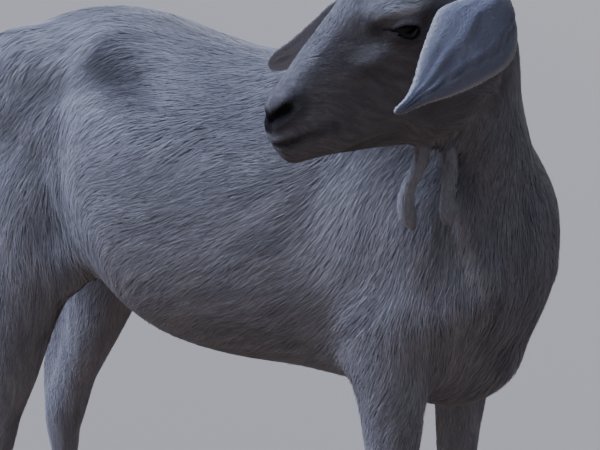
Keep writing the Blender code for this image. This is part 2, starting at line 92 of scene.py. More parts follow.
def to_left(points):
    """Points folded over to the goat's left side."""
    return np.column_stack((points[:, 0], np.abs(points[:, 1]), points[:, 2]))


def mirrored(points, sides):
    """Points or ways turned from the left side to each one's own side, or back again."""
    return points * np.column_stack((np.ones_like(sides), sides, np.ones_like(sides)))


def step(value, low, high):
    """Smooth step from 0 at low to 1 at high."""
    t = np.clip((value - low) / (high - low), 0.0, 1.0)
    return t * t * (3 - 2 * t)


def on_head(points):
    """1 on the head, 0 from the top of the neck on."""
    local = in_head(points)
    ahead = np.clip(local[:, 0], -0.060, 0.100)
    core = np.column_stack((ahead, np.zeros_like(ahead), 0.014 - 0.22 * ahead))
    return 1 - step(np.linalg.norm(local - core, axis=1), NECK_BEGINS, NECK_ONLY)


def tube_mesh(points):
    """Points and faces of a closed skin over rings of points, with a middle point at each end."""
    rings, count = points.shape[:2]
    flat = np.vstack((points.reshape(-1, 3), points[0].mean(axis=0), points[-1].mean(axis=0)))
    faces = []
    for i in range(rings - 1):
        for k in range(count):
            j = (k + 1) % count
            faces.append((i * count + k, i * count + j, (i + 1) * count + j, (i + 1) * count + k))
    last = (rings - 1) * count
    for k in range(count):
        j = (k + 1) % count
        faces.append((rings * count, j, k))
        faces.append((rings * count + 1, last + k, last + j))
    return flat, faces


def oval_form(rows, around=20):
    """Closed tube of level ovals in the body's frame: rows of x, y, z, half length and half width."""
    rows = np.array(rows)
    turn = np.arange(around) * math.tau / around
    ring = np.column_stack((np.cos(turn), np.sin(turn)))
    points = np.repeat(rows[:, None, :3], around, axis=1)
    points[:, :, :2] += ring[None, :, :] * rows[:, None, 3:5]
    return tube_mesh(BODY_ORIGIN + points)


RIGHT_HIND_AHEAD = 0.0175     # the right hind foot stands this much further forward


def heel_tendon(side):
    """Tendon from the point of the hock up into the back of the thigh, under the skin."""
    shift = 0.0 if side > 0 else RIGHT_HIND_AHEAD
    rows = ((-0.604, 0.079, 0.222, 0.007, 0.008), (-0.606, 0.079, 0.255, 0.012, 0.012),
            (-0.603, 0.080, 0.288, 0.016, 0.013), (-0.590, 0.081, 0.325, 0.023, 0.013),
            (-0.578, 0.083, 0.365, 0.025, 0.015), (-0.567, 0.086, 0.405, 0.027, 0.018),
            (-0.556, 0.088, 0.450, 0.024, 0.018))
    return oval_form([(x + shift, side * y, z, long, wide) for x, y, z, long, wide in rows])


def outward(points, faces):
    """Mesh data with its faces turned outwards."""
    loose = bmesh.new()
    made = [loose.verts.new(point) for point in points]
    for face in faces:
        loose.faces.new([made[i] for i in face])
    bmesh.ops.recalc_face_normals(loose, faces=loose.faces)
    return loose


def join_form(whole, points, faces):
    """Add a closed form to a growing mesh."""
    form = outward(points, faces)
    scratch = bpy.data.meshes.new("form")
    form.to_mesh(scratch)
    form.free()
    whole.from_mesh(scratch)


def merged_flesh(names):
    """Closed copies of the solids with their doubled points merged, and the heel tendons, in one mesh."""
    whole = bmesh.new()
    for name in names:
        whole.from_mesh(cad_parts[name].data)
    bmesh.ops.remove_doubles(whole, verts=whole.verts, dist=1e-5)
    for side in (1, -1):
        join_form(whole, *heel_tendon(side))
    mesh = bpy.data.meshes.new("flesh")
    whole.to_mesh(mesh)
    whole.free()
    return mesh


def shown(name, data):
    """New object of a mesh, lamp or camera, linked to the scene."""
    thing = bpy.data.objects.new(name, data)
    bpy.context.scene.collection.objects.link(thing)
    return thing


def with_modifiers(piece):
    """The mesh that a piece's modifiers make, as plain data; the modifiers are cleared."""
    graph = bpy.context.evaluated_depsgraph_get()
    mesh = bpy.data.meshes.new_from_object(piece.evaluated_get(graph))
    piece.modifiers.clear()
    piece.data = mesh
    return mesh


def table_of(things, field, width, kind=float):
    """One field of many mesh parts as a table with the given number of columns."""
    flat = np.empty(len(things) * width, dtype=kind)
    things.foreach_get(field, flat)
    return flat.reshape(-1, width) if width > 1 else flat


def points_of(mesh):
    return table_of(mesh.vertices, "co", 3)


def set_points(mesh, points):
    mesh.vertices.foreach_set("co", points.ravel())
    mesh.update()


def relax(points, edges, weight, passes):
    """Move each point part of the way to the mean of its neighbours, over and over."""
    count = np.maximum(np.bincount(edges.ravel(), minlength=len(points)), 1)[:, None]
    for _ in range(passes):
        total = np.empty_like(points)
        for axis in range(3):
            total[:, axis] = (np.bincount(edges[:, 0], points[edges[:, 1], axis], len(points))
                              + np.bincount(edges[:, 1], points[edges[:, 0], axis], len(points)))
        points = points + weight[:, None] * (total / count - points)
    return points


def refine(mesh, wanted):
    """Split the faces whose points are all wanted, once, and keep the rest as they are."""
    fine = bmesh.new()
    fine.from_mesh(mesh)
    chosen = {edge for face in fine.faces if all(wanted[v.index] for v in face.verts) for edge in face.edges}
    bmesh.ops.subdivide_edges(fine, edges=list(chosen), cuts=1, use_grid_fill=True)
    fine.to_mesh(mesh)
    fine.free()
    mesh.update()


def smooth_hide(mesh, weight_rule, passes):
    """Smooth a mesh by as much at each point as the rule says."""
    points = points_of(mesh)
    edges = table_of(mesh.edges, "vertices", 2, np.int32)
    set_points(mesh, relax(points, edges, 0.5 * weight_rule(points), passes))


def curve_through(rows, steps):
    """Rows of numbers with smooth in-between rows, on a Catmull-Rom curve."""
    rows = np.asarray(rows, dtype=float)
    out = []
    for i in range(len(rows) - 1):
        before, here, there = rows[max(i - 1, 0)], rows[i], rows[i + 1]
        after = rows[min(i + 2, len(rows) - 1)]
        for t in np.arange(steps) / steps:
            out.append(0.5 * (2 * here + (there - before) * t
                              + (2 * before - 5 * here + 4 * there - after) * t * t
                              + (3 * here - before - 3 * there + after) * t ** 3))
    out.append(rows[-1])
    return np.array(out)


def off_path(points, path):
    """Each point's distance from a path, and how far along the path its nearest place is."""
    best = np.full(len(points), 9.0)
    along = np.zeros(len(points))
    for i, (a, b) in enumerate(zip(path, path[1:])):
        reach = b - a
        t = np.clip((points - a) @ reach / max(reach @ reach, 1e-12), 0, 1)
        gap = np.linalg.norm(points - a - t[:, None] * reach, axis=1)
        closer = gap < best
        best[closer] = gap[closer]
        along[closer] = (i + t[closer]) / (len(path) - 1)
    return best, along


def hump(places, centre, radii):
    """1 at a centre, fading out over the radii."""
    return np.exp(-(((places - np.array(centre)) / np.array(radii)) ** 2).sum(axis=1))


def stroke(places, path, width):
    """1 along a path, fading out over the width."""
    gap, _ = off_path(places, np.asarray(path, dtype=float))
    return np.exp(-(gap / width) ** 2)


RIB_SPACING = 0.034
RIB_HEIGHT = 0.0006


def muscle_lift(body):
    """How far hips, ribs, flanks, shoulders and tendons stand out of, or sink into, the plain form."""
    lift = np.zeros(len(body))
    folded = to_left(body)
    for centre, radii, height in (
            ((-0.345, 0.082, 0.742), (0.032, 0.028, 0.022), 0.0070),       # hook bone
            ((-0.285, 0.102, 0.708), (0.056, 0.045, 0.034), -0.0120),      # hollow of the flank
            ((-0.395, 0.110, 0.630), (0.026, 0.050, 0.075), -0.0060),      # before the thigh
            ((-0.425, 0.100, 0.692), (0.060, 0.040, 0.020), -0.0050),      # under the rump muscle
            ((-0.048, 0.120, 0.600), (0.022, 0.050, 0.080), -0.0040),      # behind the shoulder
            ((-0.035, 0.120, 0.470), (0.026, 0.040, 0.036), -0.0040),      # behind the elbow
            ((0.072, 0.080, 0.600), (0.022, 0.030, 0.050), -0.0035),       # before the shoulder blade
            ((-0.585, 0.050, 0.655), (0.020, 0.020, 0.022), 0.0030),       # pin bone
            ((0.092, 0.098, 0.505), (0.030, 0.030, 0.034), 0.0050),        # point of the shoulder
            ((0.060, 0.110, 0.440), (0.020, 0.030, 0.030), -0.0040),       # over the elbow
            ((0.070, 0.000, 0.470), (0.040, 0.014, 0.050), -0.0050)):      # groove of the breast
        lift += height * hump(folded, centre, radii)
    # Spine of the shoulder blade, neck, fold of the flank and its groove, tendons of the cannons.
    for rows, width, height in (
            (((0.004, 0.074, 0.700), (0.034, 0.096, 0.620), (0.066, 0.100, 0.545)), 0.014, 0.0035),
            (((0.098, 0.091, 0.640), (0.104, 0.091, 0.600), (0.116, 0.080, 0.565),
              (0.127, 0.066, 0.515)), 0.010, 0.0050),                      # ridge from throat to breast
            (((0.082, 0.098, 0.640), (0.088, 0.100, 0.600), (0.096, 0.098, 0.565),
              (0.106, 0.092, 0.530)), 0.008, -0.0055),                     # furrow behind the ridge
            (((-0.396, 0.112, 0.590), (-0.382, 0.116, 0.540), (-0.362, 0.108, 0.500)), 0.016, 0.0040),
            (((-0.424, 0.110, 0.620), (-0.416, 0.116, 0.570), (-0.408, 0.112, 0.520)), 0.013, -0.0040),
            (((-0.008, 0.098, 0.215), (-0.010, 0.096, 0.160), (-0.010, 0.098, 0.115)), 0.005, -0.0018),
            (((-0.596, 0.095, 0.195), (-0.598, 0.093, 0.150), (-0.598, 0.096, 0.115)), 0.005, -0.0018)):
        lift += height * stroke(folded, curve_through(rows, 4), width)
    ribs = np.sin((folded[:, 0] + 0.35 * (folded[:, 2] - 0.6)) * 2 * math.pi / RIB_SPACING)
    barrel = step(-folded[:, 0], 0.09, 0.13) * (1 - step(-folded[:, 0], 0.26, 0.31))
    side = step(folded[:, 1], 0.10, 0.13) * step(folded[:, 2], 0.45, 0.52)
    side = side * (1 - step(folded[:, 2], 0.64, 0.70))
    return lift + RIB_HEIGHT * ribs * barrel * side


NOSTRIL = curve_through(((0.1188, 0.0062, -0.0072), (0.1155, 0.0118, -0.0034), (0.1085, 0.0172, 0.0010),
                         (0.1015, 0.0203, 0.0052), (0.0975, 0.0212, 0.0078)), 4)
MOUTH = curve_through(((0.1215, 0.0000, -0.0315), (0.1172, 0.0070, -0.0304), (0.1126, 0.0160, -0.0282),
                       (0.1048, 0.0210, -0.0262), (0.0941, 0.0238, -0.0238), (0.0820, 0.0253, -0.0221),
                       (0.0680, 0.0262, -0.0205)), 4)


def face_lift(folded):
    """How far lips, nostrils, cheeks and brows stand out of, or sink into, the plain head."""
    lift = np.zeros(len(folded))
    up = np.array((0.0, 0.0, 1.0))
    # Nostril, mouth and lips, cleft of the lip, crest of the cheek and the hollow below it, edge of the
    # jaw, hollow between the jaws, edge of the bridge, brow, back of the cheek, folds of the upper lid.
    for path, width, height in (
            (NOSTRIL + (-0.0035, 0.0005, 0.0086), 0.0046, 0.0007),                       # wing
            (NOSTRIL - (0.0000, -0.0005, 0.0092), 0.0048, 0.0006),                       # its floor
            (MOUTH, 0.0020, -0.0040),
            (MOUTH + 0.0056 * up, 0.0042, 0.0011),                                       # upper lip
            (MOUTH - 0.0052 * up, 0.0038, 0.0008),                                       # lower lip
            (((0.1200, 0, -0.006), (0.1225, 0, -0.018), (0.1215, 0, -0.030)), 0.0014, -0.0022),
            (((0.020, 0.037, 0.031), (0.042, 0.030, 0.022), (0.066, 0.024, 0.012)), 0.0075, 0.0008),
            (((0.034, 0.032, 0.006), (0.060, 0.026, -0.002), (0.080, 0.024, -0.006)), 0.0085, -0.0022),
            (((-0.052, 0.038, -0.044), (0.000, 0.026, -0.058), (0.062, 0.018, -0.050)), 0.0070, 0.0016),
            (((0.088, 0.000, -0.050), (0.055, 0.000, -0.058), (0.015, 0.000, -0.062)), 0.0180, 0.0032),
            (((0.032, 0.020, 0.070), (0.066, 0.017, 0.046), (0.096, 0.014, 0.020)), 0.0060, 0.0010),
            (((0.017, 0.041, 0.067), (0.003, 0.051, 0.073), (-0.013, 0.052, 0.071),
              (-0.026, 0.047, 0.063)), 0.0050, 0.0020),                                  # brow
            (((-0.018, 0.046, 0.028), (-0.020, 0.048, 0.000), (-0.030, 0.044, -0.034)), 0.0120, 0.0014),
            (((0.018, 0.038, 0.040), (0.004, 0.047, 0.034), (-0.012, 0.047, 0.034)), 0.0012, -0.0007),
            (((0.014, 0.039, 0.035), (0.000, 0.046, 0.029), (-0.014, 0.047, 0.030)), 0.0014, -0.0005)):
        gap, along = off_path(folded, np.asarray(path, dtype=float))
        ends = 1 - 0.8 * step(along, 0.55, 1.0)
        lift += height * np.exp(-(gap / width) ** 2) * ends
    gap, along = off_path(folded, NOSTRIL)
    lift -= 0.0044 * np.exp(-(gap / (0.0036 + 0.0012 * along)) ** 2) * (1 - 0.7 * step(along, 0.55, 1.0))
    for centre, radius, height in (((-0.036, 0.044, 0.079), 0.012, -0.0025),             # before the ear
                                   ((0.040, 0.000, 0.088), 0.012, 0.0008)):              # forehead
        gap = np.linalg.norm(folded - np.array(centre), axis=1)
        lift += height * np.exp(-(gap / radius) ** 2)
    return lift


# Eye opening: an almond on the ball, with a narrow tear corner in front.
EYE_OUT = np.array((0.00, 0.990, -0.10))
EYE_OUT /= np.linalg.norm(EYE_OUT)
EYE_AHEAD = np.array((1.0, -0.03, -0.06))
EYE_AHEAD -= EYE_OUT * (EYE_AHEAD @ EYE_OUT)
EYE_AHEAD /= np.linalg.norm(EYE_AHEAD)
EYE_UP = np.cross(EYE_AHEAD, EYE_OUT)
OPENING_HALF = 0.0132
OPENING_RISE = 0.0064
OPENING_DROP = 0.0010
OPENING_SLANT = 0.28
TEAR_AHEAD, TEAR_UP = 0.0145, 0.0030
TEAR_HALF_LONG, TEAR_HALF_WIDE = 0.0030, 0.0010
LID_THICK = 0.0013
LID_REACH = 0.0235            # the lids wrap the ball this far from its centre
RIM_RISE = 0.0005
CREASE_DEPTH = 0.0009
BEHIND_BALL = 0.0022          # how far the hide runs under the ball's surface in the opening


def outside_opening(ahead, rise):
    """How far a place on the lids lies outside the almond opening, negative within it."""
    share = np.clip(1 - (ahead / OPENING_HALF) ** 2, 0, 1)
    off_middle = np.abs(rise + OPENING_DROP - OPENING_SLANT * ahead)
    almond = off_middle - OPENING_RISE * share ** 0.75
    beyond = np.hypot(np.maximum(np.abs(ahead) - OPENING_HALF, 0), off_middle)
    beyond_corner = np.maximum(np.abs(ahead - TEAR_AHEAD) - TEAR_HALF_LONG, 0)
    corner = np.hypot(beyond_corner, rise - TEAR_UP) - TEAR_HALF_WIDE
    return np.minimum(np.where(share > 0, almond, beyond), corner)


def open_lids(folded):
    """Wrap the hide over the eyeball as lids, and draw it behind the ball in the opening."""
    from_eye = folded - EYE_CENTRE
    reach = np.linalg.norm(from_eye, axis=1)
    near = (reach < LID_REACH) & (from_eye @ EYE_OUT > 0)
    offset = from_eye[near]
    ahead, rise = offset @ EYE_AHEAD, offset @ EYE_UP
    gap = outside_opening(ahead, rise)
    ball = np.sqrt(np.maximum(1 - (ahead ** 2 + rise ** 2) / EYE_RADIUS ** 2, 0.0)) * EYE_RADIUS
    depth = offset @ EYE_OUT
    lid = np.sqrt(np.maximum((EYE_RADIUS + LID_THICK) ** 2 - ahead ** 2 - rise ** 2, 0))
    on_lid = np.maximum(depth, np.where(ball > 0, lid, depth))
    rim = np.exp(-((gap - 0.0006) / 0.0009) ** 2) * RIM_RISE
    crease = -CREASE_DEPTH * np.exp(-((gap - 0.0042) / 0.0011) ** 2) * (rise > 0)
    outer = on_lid + rim + crease
    inner = np.where(ball > 0.004, ball - BEHIND_BALL, depth - 0.0018)
    blend = step(gap, -0.0009, 0.0001)
    new_depth = inner * (1 - blend) + outer * blend
    folded = folded.copy()
    folded[near] = (EYE_CENTRE + ahead[:, None] * EYE_AHEAD + rise[:, None] * EYE_UP
                    + new_depth[:, None] * EYE_OUT)
    return folded


# Ears, from root to tip: front margin and rear margin in the head's frame, and how far the leaf is
# cupped, in millimetres.
LEFT_EAR = [
    (-80, 36, 66, -102, 44, 46, 10), (-60, 52, 68, -99, 66, 36, 14), (-32, 60, 67, -92, 78, 24, 13),
    (-14, 73, 56, -78, 88, 13, 10), (-2, 83, 47, -58, 96, 9, 8), (9, 92, 37, -34, 103, 7, 6),
    (22, 104, 25, -6, 110, 7, 4), (36, 114, 17, 20, 115, 8, 2), (52, 122, 13, 46, 120, 6, 0)]
RIGHT_EAR = [
    (-80, 36, 66, -102, 44, 46, 10), (-60, 53, 70, -98, 65, 36, 14), (-32, 62, 71, -92, 77, 25, 13),
    (-8, 70, 67, -78, 88, 14, 10), (10, 80, 58, -56, 99, 8, 7), (27, 98, 40, -30, 111, 2, 5),
    (44, 114, 24, 0, 124, -4, 4), (58, 125, 14, 32, 136, -9, 2), (66, 132, 4, 56, 142, -10, 1)]
EAR_STEPS = 7
EAR_ACROSS = 22
EAR_HALF_THICK = 0.0017
TIP_BEGINS = 0.92             # share of the ear's length where the tip starts to round off
# Veins: place across the leaf at the root and at the tip, bow, width, height.
EAR_VEINS = ((0.10, 0.55, 0.05, 0.060, 0.0030), (-0.85, 0.25, 0.05, 0.050, 0.0032),
             (-1.00, 0.10, 0.05, 0.060, -0.0026), (0.62, 0.80, 0.04, 0.060, 0.0012),
             (-0.45, -0.30, -0.06, 0.050, 0.0008))


def ear_leaf(rows, side):
    """Closed leaf of skin with rolled margins and raised veins, arched away from the head."""
    full = curve_through(np.array(rows) / 1000, EAR_STEPS)
    full[:, (1, 4)] *= side
    front, rear = full[:, 0:3], full[:, 3:6]
    middle = (front + rear) / 2
    ahead = np.gradient(middle, axis=0)
    along = np.linspace(0, 1, len(full))[:, None]
    tip_round = np.sqrt(np.clip(1 - (np.maximum(along - TIP_BEGINS, 0) / 0.081) ** 2, 0.02, 1))
    half = (front - rear) / 2 * tip_round
    outwards = np.cross(half, ahead)
    outwards *= side / np.linalg.norm(outwards, axis=1)[:, None]
    angle = np.arange(2 * EAR_ACROSS) * math.pi / EAR_ACROSS
    across, face = np.cos(angle)[None, :], np.sin(angle)[None, :]
    thick = EAR_HALF_THICK * (1 + 3.0 * (1 - step(along, 0.0, 0.22))) * (1 + 0.6 * step(across, 0.75, 0.97))
    lift = full[:, 6:7] * (1 - across ** 2) + thick * np.sign(face) * np.abs(face) ** 0.6
    for start, end, bow, width, height in EAR_VEINS:
        vein = start + (end - start) * along + bow * np.sin(math.pi * along)
        raised = height * np.exp(-((across - vein) / width) ** 2)
        lift = lift + raised * step(along, 0.05, 0.2) * (1 - step(along, 0.86, 1))
    points = (middle[:, None, :] + half[:, None, :] * across[..., None]
              + outwards[:, None, :] * lift[..., None])
    ahead /= np.linalg.norm(ahead, axis=1)[:, None]
    spread = half / np.linalg.norm(half, axis=1)[:, None]
    lie = ahead[:, None, :] + 0.35 * spread[:, None, :] * across[..., None]
    margin = np.repeat(step(np.abs(across), 0.80, 0.98), len(full), axis=0).ravel()
    lie = np.vstack((lie.reshape(-1, 3), ahead[0], ahead[-1])) @ HEAD_AXES.T
    return *tube_mesh(points), lie, np.append(margin, (0, 1))


WATTLE_AROUND = 20
WATTLE_LENGTH = 0.062
# Distance below the top and radius of each ring.
WATTLE_RINGS = curve_through(((-0.024, 0.0040), (-0.012, 0.0062), (0.000, 0.0068), (0.022, 0.0064),
                              (0.038, 0.0074), (0.050, 0.0076), (0.0560, 0.0058), (0.0590, 0.0038),
                              (0.0602, 0.0014)), 4)


def wattle(top, lean, share, bow):
    """Soft lobe of skin under the throat, thicker towards its blunt end and bowed to one side."""
    around = np.arange(WATTLE_AROUND) * math.tau / WATTLE_AROUND
    circle = np.column_stack((np.cos(around), np.sin(around), np.zeros(WATTLE_AROUND)))
    rings = []
    for drop, radius in WATTLE_RINGS * (share, 0.5 + 0.5 * share):
        aside = bow * math.sin(math.pi * min(max(drop / WATTLE_LENGTH, 0.0), 1.0))
        centre = np.array(top) + np.array((lean * drop - 0.84 * aside, -0.10 * drop - 0.54 * aside, -drop))
        wrinkle = 1 + 0.03 * np.sin(drop * 900 + 2 * np.sin(around))
        rings.append(centre + circle * (radius * wrinkle)[:, None])
    points, faces = tube_mesh(np.array(rings))
    return points + BODY_ORIGIN, faces


def face_detail(points):
    """Where the hide needs its finest faces: round the eyes and over the muzzle."""
    local = to_left(in_head(points))
    near_eye = np.linalg.norm(local - EYE_CENTRE, axis=1) < 0.027
    ahead, out, up = local.T
    muzzle = (ahead > 0.062) & (ahead < 0.14) & (out < 0.05) & (np.abs(up) < 0.07)
    return (near_eye | muzzle).astype(float)


def jaw_corner(points):
    """1 where the angle of the jaw runs into the neck."""
    return hump(in_head(points), (-0.050, 0.0, -0.050), (0.034, 0.060, 0.034))


def flank_and_hock(points):
    """1 where the thigh runs into the flank, and over the hocks."""
    folded = to_left(points - BODY_ORIGIN)
    flank = hump(folded, (-0.385, 0.090, 0.462), (0.040, 0.070, 0.036))
    hock = hump(folded, (-0.592, 0.081, 0.305), (0.034, 0.040, 0.060))
    return np.maximum(flank, 0.6 * hock)


hide = shown("hide", merged_flesh(FUSED + ["eye_left", "eye_right"]))
melt = hide.modifiers.new("melt", "REMESH")
melt.mode = "VOXEL"
melt.voxel_size = HIDE_CELL
mesh = with_modifiers(hide)
smooth_hide(mesh, lambda p: (1 - on_head(p)) * (0.25 + 0.75 * step(p[:, 2], 0.30, 0.46)), passes=18)
smooth_hide(mesh, flank_and_hock, passes=45)
smooth_hide(mesh, lambda p: np.ones(len(p)), passes=2)
refine(mesh, on_head(points_of(mesh)) > 0.05)
smooth_hide(mesh, on_head, passes=4)
smooth_hide(mesh, jaw_corner, passes=24)
refine(mesh, face_detail(points_of(mesh)) > 0.5)
smooth_hide(mesh, face_detail, passes=3)

points, normals = points_of(mesh), table_of(mesh.vertices, "normal", 3)
head_share = on_head(points)
depth = BODY_DEPTH + (FACE_DEPTH - BODY_DEPTH) * np.maximum(head_share, 1 - step(points[:, 2], 0.10, 0.30))
points -= normals * depth[:, None]
points += normals * (muscle_lift(points - BODY_ORIGIN) * (1 - head_share))[:, None]

# Each foot's skin reaches down into its claws, swells over their tops and closes on the dewclaws.
CORONET_HEIGHT = 0.040
CORONET_SWELL = 0.0016
INTO_CLAWS = 0.009
DEWCLAW_REACH = 0.0115
height = points[:, 2] - BODY_ORIGIN[2]
points[:, 2] -= INTO_CLAWS * (1 - step(height, 0.030, 0.060))
points += normals * (CORONET_SWELL * (1 - step(np.abs(height - CORONET_HEIGHT), 0.008, 0.018)))[:, None]
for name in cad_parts:
    if name.startswith("dewclaw"):
        low_corner, high_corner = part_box(name)
        away = np.array((low_corner + high_corner) / 2) - points
        points += away * (0.55 * np.exp(-((away ** 2).sum(axis=1) / DEWCLAW_REACH ** 2)))[:, None]

face = np.flatnonzero(head_share > 0)
local = in_head(points[face])
sides = np.where(local[:, 1] < 0, -1.0, 1.0)
folded = mirrored(local, sides)
points[face] += normals[face] * (face_lift(folded) * head_share[face])[:, None]
folded = open_lids(mirrored(in_head(points[face]), sides))
points[face] = from_head(mirrored(folded, sides))
set_points(mesh, points)

whole = bmesh.new()
whole.from_mesh(mesh)
first_ear_point = len(whole.verts)
ear_lies, ear_margins = [], []
for points, faces, lie, margin in (ear_leaf(LEFT_EAR, 1), ear_leaf(RIGHT_EAR, -1)):
    ear_lies.append(lie)
    ear_margins.append(margin)
    join_form(whole, from_head(points), faces)
first_wattle_point = len(whole.verts)
for points, faces in (wattle((0.093, -0.109, 0.650), 0.06, 0.86, 0.002),
                      wattle((0.070, -0.124, 0.655), -0.06, 1.0, 0.010)):
    join_form(whole, points, faces)
bmesh.ops.triangulate(whole, faces=whole.faces)
whole.to_mesh(mesh)
whole.free()
mesh.shade_smooth()

# ---------------------------------------------------------------------------------------------
# Tone and lie of the coat. Both are kept at the points of the hide, so that the skin and the locks
# over it share them. Bare dark skin shows at the nose, the lips and round the eyes.
# ---------------------------------------------------------------------------------------------
points_in_all = len(mesh.vertices)
hide_points, hide_normals = points_of(mesh), table_of(mesh.vertices, "normal", 3)
hide_edges = table_of(mesh.edges, "vertices", 2, np.int32)
hide_faces = table_of(mesh.polygons, "vertices", 3, np.int32)
number = np.arange(points_in_all)
is_wattle = number >= first_wattle_point
is_ear = (number >= first_ear_point) & ~is_wattle
body = hide_points - BODY_ORIGIN
side = np.where(body[:, 1] < 0, -1.0, 1.0)
local = in_head(hide_points)
head_side = np.where(local[:, 1] < 0, -1.0, 1.0)
folded_head = to_left(local)
folded_body = to_left(body)
head_share = np.where(is_ear, 1.0, np.where(is_wattle, 0.0, on_head(hide_points)))
chance = np.random.default_rng(7)

# Place in millimetres, and the way the hair points there in hundredths, both on the goat's left
# side: x ahead, y out, z up.
BODY_LIE = (
    (60, 20, 700, -60, 20, -80), (85, 60, 640, -30, 10, -100), (110, 50, 560, -5, 10, -100),
    (125, 0, 540, 0, 30, -100), (120, 50, 480, -5, 0, -100), (80, 0, 405, -90, 10, -30),
    (0, 30, 800, -100, 20, -25), (10, 80, 720, -55, 20, -90), (30, 100, 640, -30, 5, -100),
    (50, 110, 560, -22, 0, -100), (40, 110, 500, -35, 0, -90), (-10, 105, 460, -45, 0, -90),
    (-70, 110, 720, -95, 20, -50), (-70, 130, 620, -90, 0, -50), (-70, 120, 520, -80, 0, -60),
    (-60, 80, 430, -90, -20, -35), (-200, 0, 790, -100, 10, -5), (-200, 80, 740, -100, 25, -30),
    (-200, 140, 640, -100, 0, -32), (-200, 140, 560, -92, 0, -48), (-200, 110, 470, -85, -15, -55),
    (-200, 0, 410, -100, 0, 0), (-300, 130, 620, -95, 0, -38), (-290, 120, 500, -75, -10, -62),
    (-330, 60, 760, -100, 25, -30), (-350, 100, 700, -70, 10, -80), (-370, 115, 630, 5, 0, -100),
    (-380, 110, 540, 40, 0, -95), (-345, 80, 450, 10, 0, -90), (-450, 40, 760, -90, 30, -35),
    (-460, 100, 670, -55, 10, -90), (-460, 120, 580, -30, 0, -100), (-470, 110, 480, -22, 0, -100),
    (-560, 40, 720, -70, 30, -80), (-590, 80, 600, -10, -10, -100), (-580, 80, 480, 5, -20, -100),
    (-510, 90, 380, -25, 0, -100), (-560, 80, 260, -10, 0, -100), (-590, 90, 100, 5, 0, -100),
    (0, 80, 380, -10, 0, -100), (0, 90, 240, 0, 0, -100), (0, 90, 80, 10, 0, -100),
    (-620, 0, 690, -50, 0, -100), (-660, 0, 600, -10, 0, -100))
HEAD_LIE = (
    (110, 10, 12, -80, 35, 10), (120, 8, -22, -50, 50, -50), (90, 22, 0, -85, 20, -35),
    (95, 20, -36, -90, 10, -25), (70, 12, 45, -100, 20, 10), (40, 10, 75, -100, 15, 15),
    (45, 30, 25, -90, 10, -30), (45, 26, -15, -90, 10, -35), (10, 30, 20, -85, 10, -50),
    (0, 20, 85, -100, 15, 10), (-10, 45, 10, -75, 0, -60), (-10, 35, -45, -90, -10, -30),
    (30, 0, -55, -100, 0, -10), (20, 45, 60, -80, 30, 40), (-20, 50, 70, -90, 20, 10),
    (-40, 50, 30, -85, 10, -50), (-60, 20, 90, -100, 20, -20), (-70, 40, 0, -80, 0, -60))


def guided(places, rows, reach):
    """Direction at each place as a blend of the nearest guides, before it is laid on the surface."""
    rows = np.array(rows) / (1000, 1000, 1000, 100, 100, 100)
    apart = ((places[:, None, :] - rows[None, :, :3]) ** 2).sum(axis=2)
    share = np.exp(-(apart - apart.min(axis=1)[:, None]) / reach ** 2)
    ways = rows[:, 3:] / np.linalg.norm(rows[:, 3:], axis=1)[:, None]
    return (share / share.sum(axis=1)[:, None]) @ ways


def unit(vectors):
    return vectors / np.maximum(np.linalg.norm(vectors, axis=1), 1e-9)[:, None]


def on_surface(vectors, normals):
    """Ways laid flat on a surface."""
    return unit(vectors - (vectors * normals).sum(axis=1)[:, None] * normals)


def neighbour_mean(values, weights):
    """Mean of each point's neighbours, with a weight on every edge."""
    a, b = hide_edges[:, 0], hide_edges[:, 1]
    total = (np.bincount(a, values[b] * weights, points_in_all)
             + np.bincount(b, values[a] * weights, points_in_all))
    share = np.bincount(a, weights, points_in_all) + np.bincount(b, weights, points_in_all)
    return total / np.maximum(share, 1e-9)


def spread_evenly(values):
    """Values with a mean of 0 and a spread of 1."""
    return (values - values.mean()) / values.std()


def broad_noise(passes):
    """Random values smoothed over the whole hide."""
    values = chance.normal(size=points_in_all)
    for _ in range(passes):
        values = neighbour_mean(values, np.ones(len(hide_edges)))
    return np.clip(spread_evenly(values), -2, 2)


GUIDE_REACH = 0.060           # how far a guide's way is felt on the body, and on the head
HEAD_GUIDE_REACH = 0.022
body_lie = mirrored(guided(folded_body, BODY_LIE, GUIDE_REACH), side)
head_lie = mirrored(guided(folded_head, HEAD_LIE, HEAD_GUIDE_REACH), head_side) @ HEAD_AXES.T
lie = body_lie * (1 - head_share)[:, None] + head_lie * head_share[:, None]
lie[is_ear] = np.vstack(ear_lies)
lie[is_wattle] = (0.0, 0.0, -1.0)
lie = on_surface(lie, hide_normals)

# Broad waves in the lie, then streaks of lighter and darker locks drawn out along it, and blotches.
WAVE_PASSES, STREAK_PASSES, BLOTCH_PASSES = 40, 12, 160
WAVE_DEGREES, MORE_ON_HEAD = 8.0, 9.0
wave = broad_noise(WAVE_PASSES)
swing = np.radians(WAVE_DEGREES + MORE_ON_HEAD * head_share) * wave * np.where(is_ear | is_wattle, 0.3, 1.0)
lie = unit(lie * np.cos(swing)[:, None] + np.cross(hide_normals, lie) * np.sin(swing)[:, None])
edge_way = unit(hide_points[hide_edges[:, 1]] - hide_points[hide_edges[:, 0]])
along_lie = np.abs((edge_way * lie[hide_edges[:, 0]]).sum(axis=1)) ** 10 + 1e-4
streak = chance.normal(size=points_in_all)
for _ in range(STREAK_PASSES):
    streak = 0.3 * streak + 0.7 * neighbour_mean(streak, along_lie)
streak = np.clip(spread_evenly(streak), -2.4, 2.4)
blotch = broad_noise(BLOTCH_PASSES)

TEAR_CORNER = (0.0200, 0.0390, 0.0530)
BROW = hump(folded_head, (-0.006, 0.050, 0.0715), (0.020, 0.014, 0.0050))


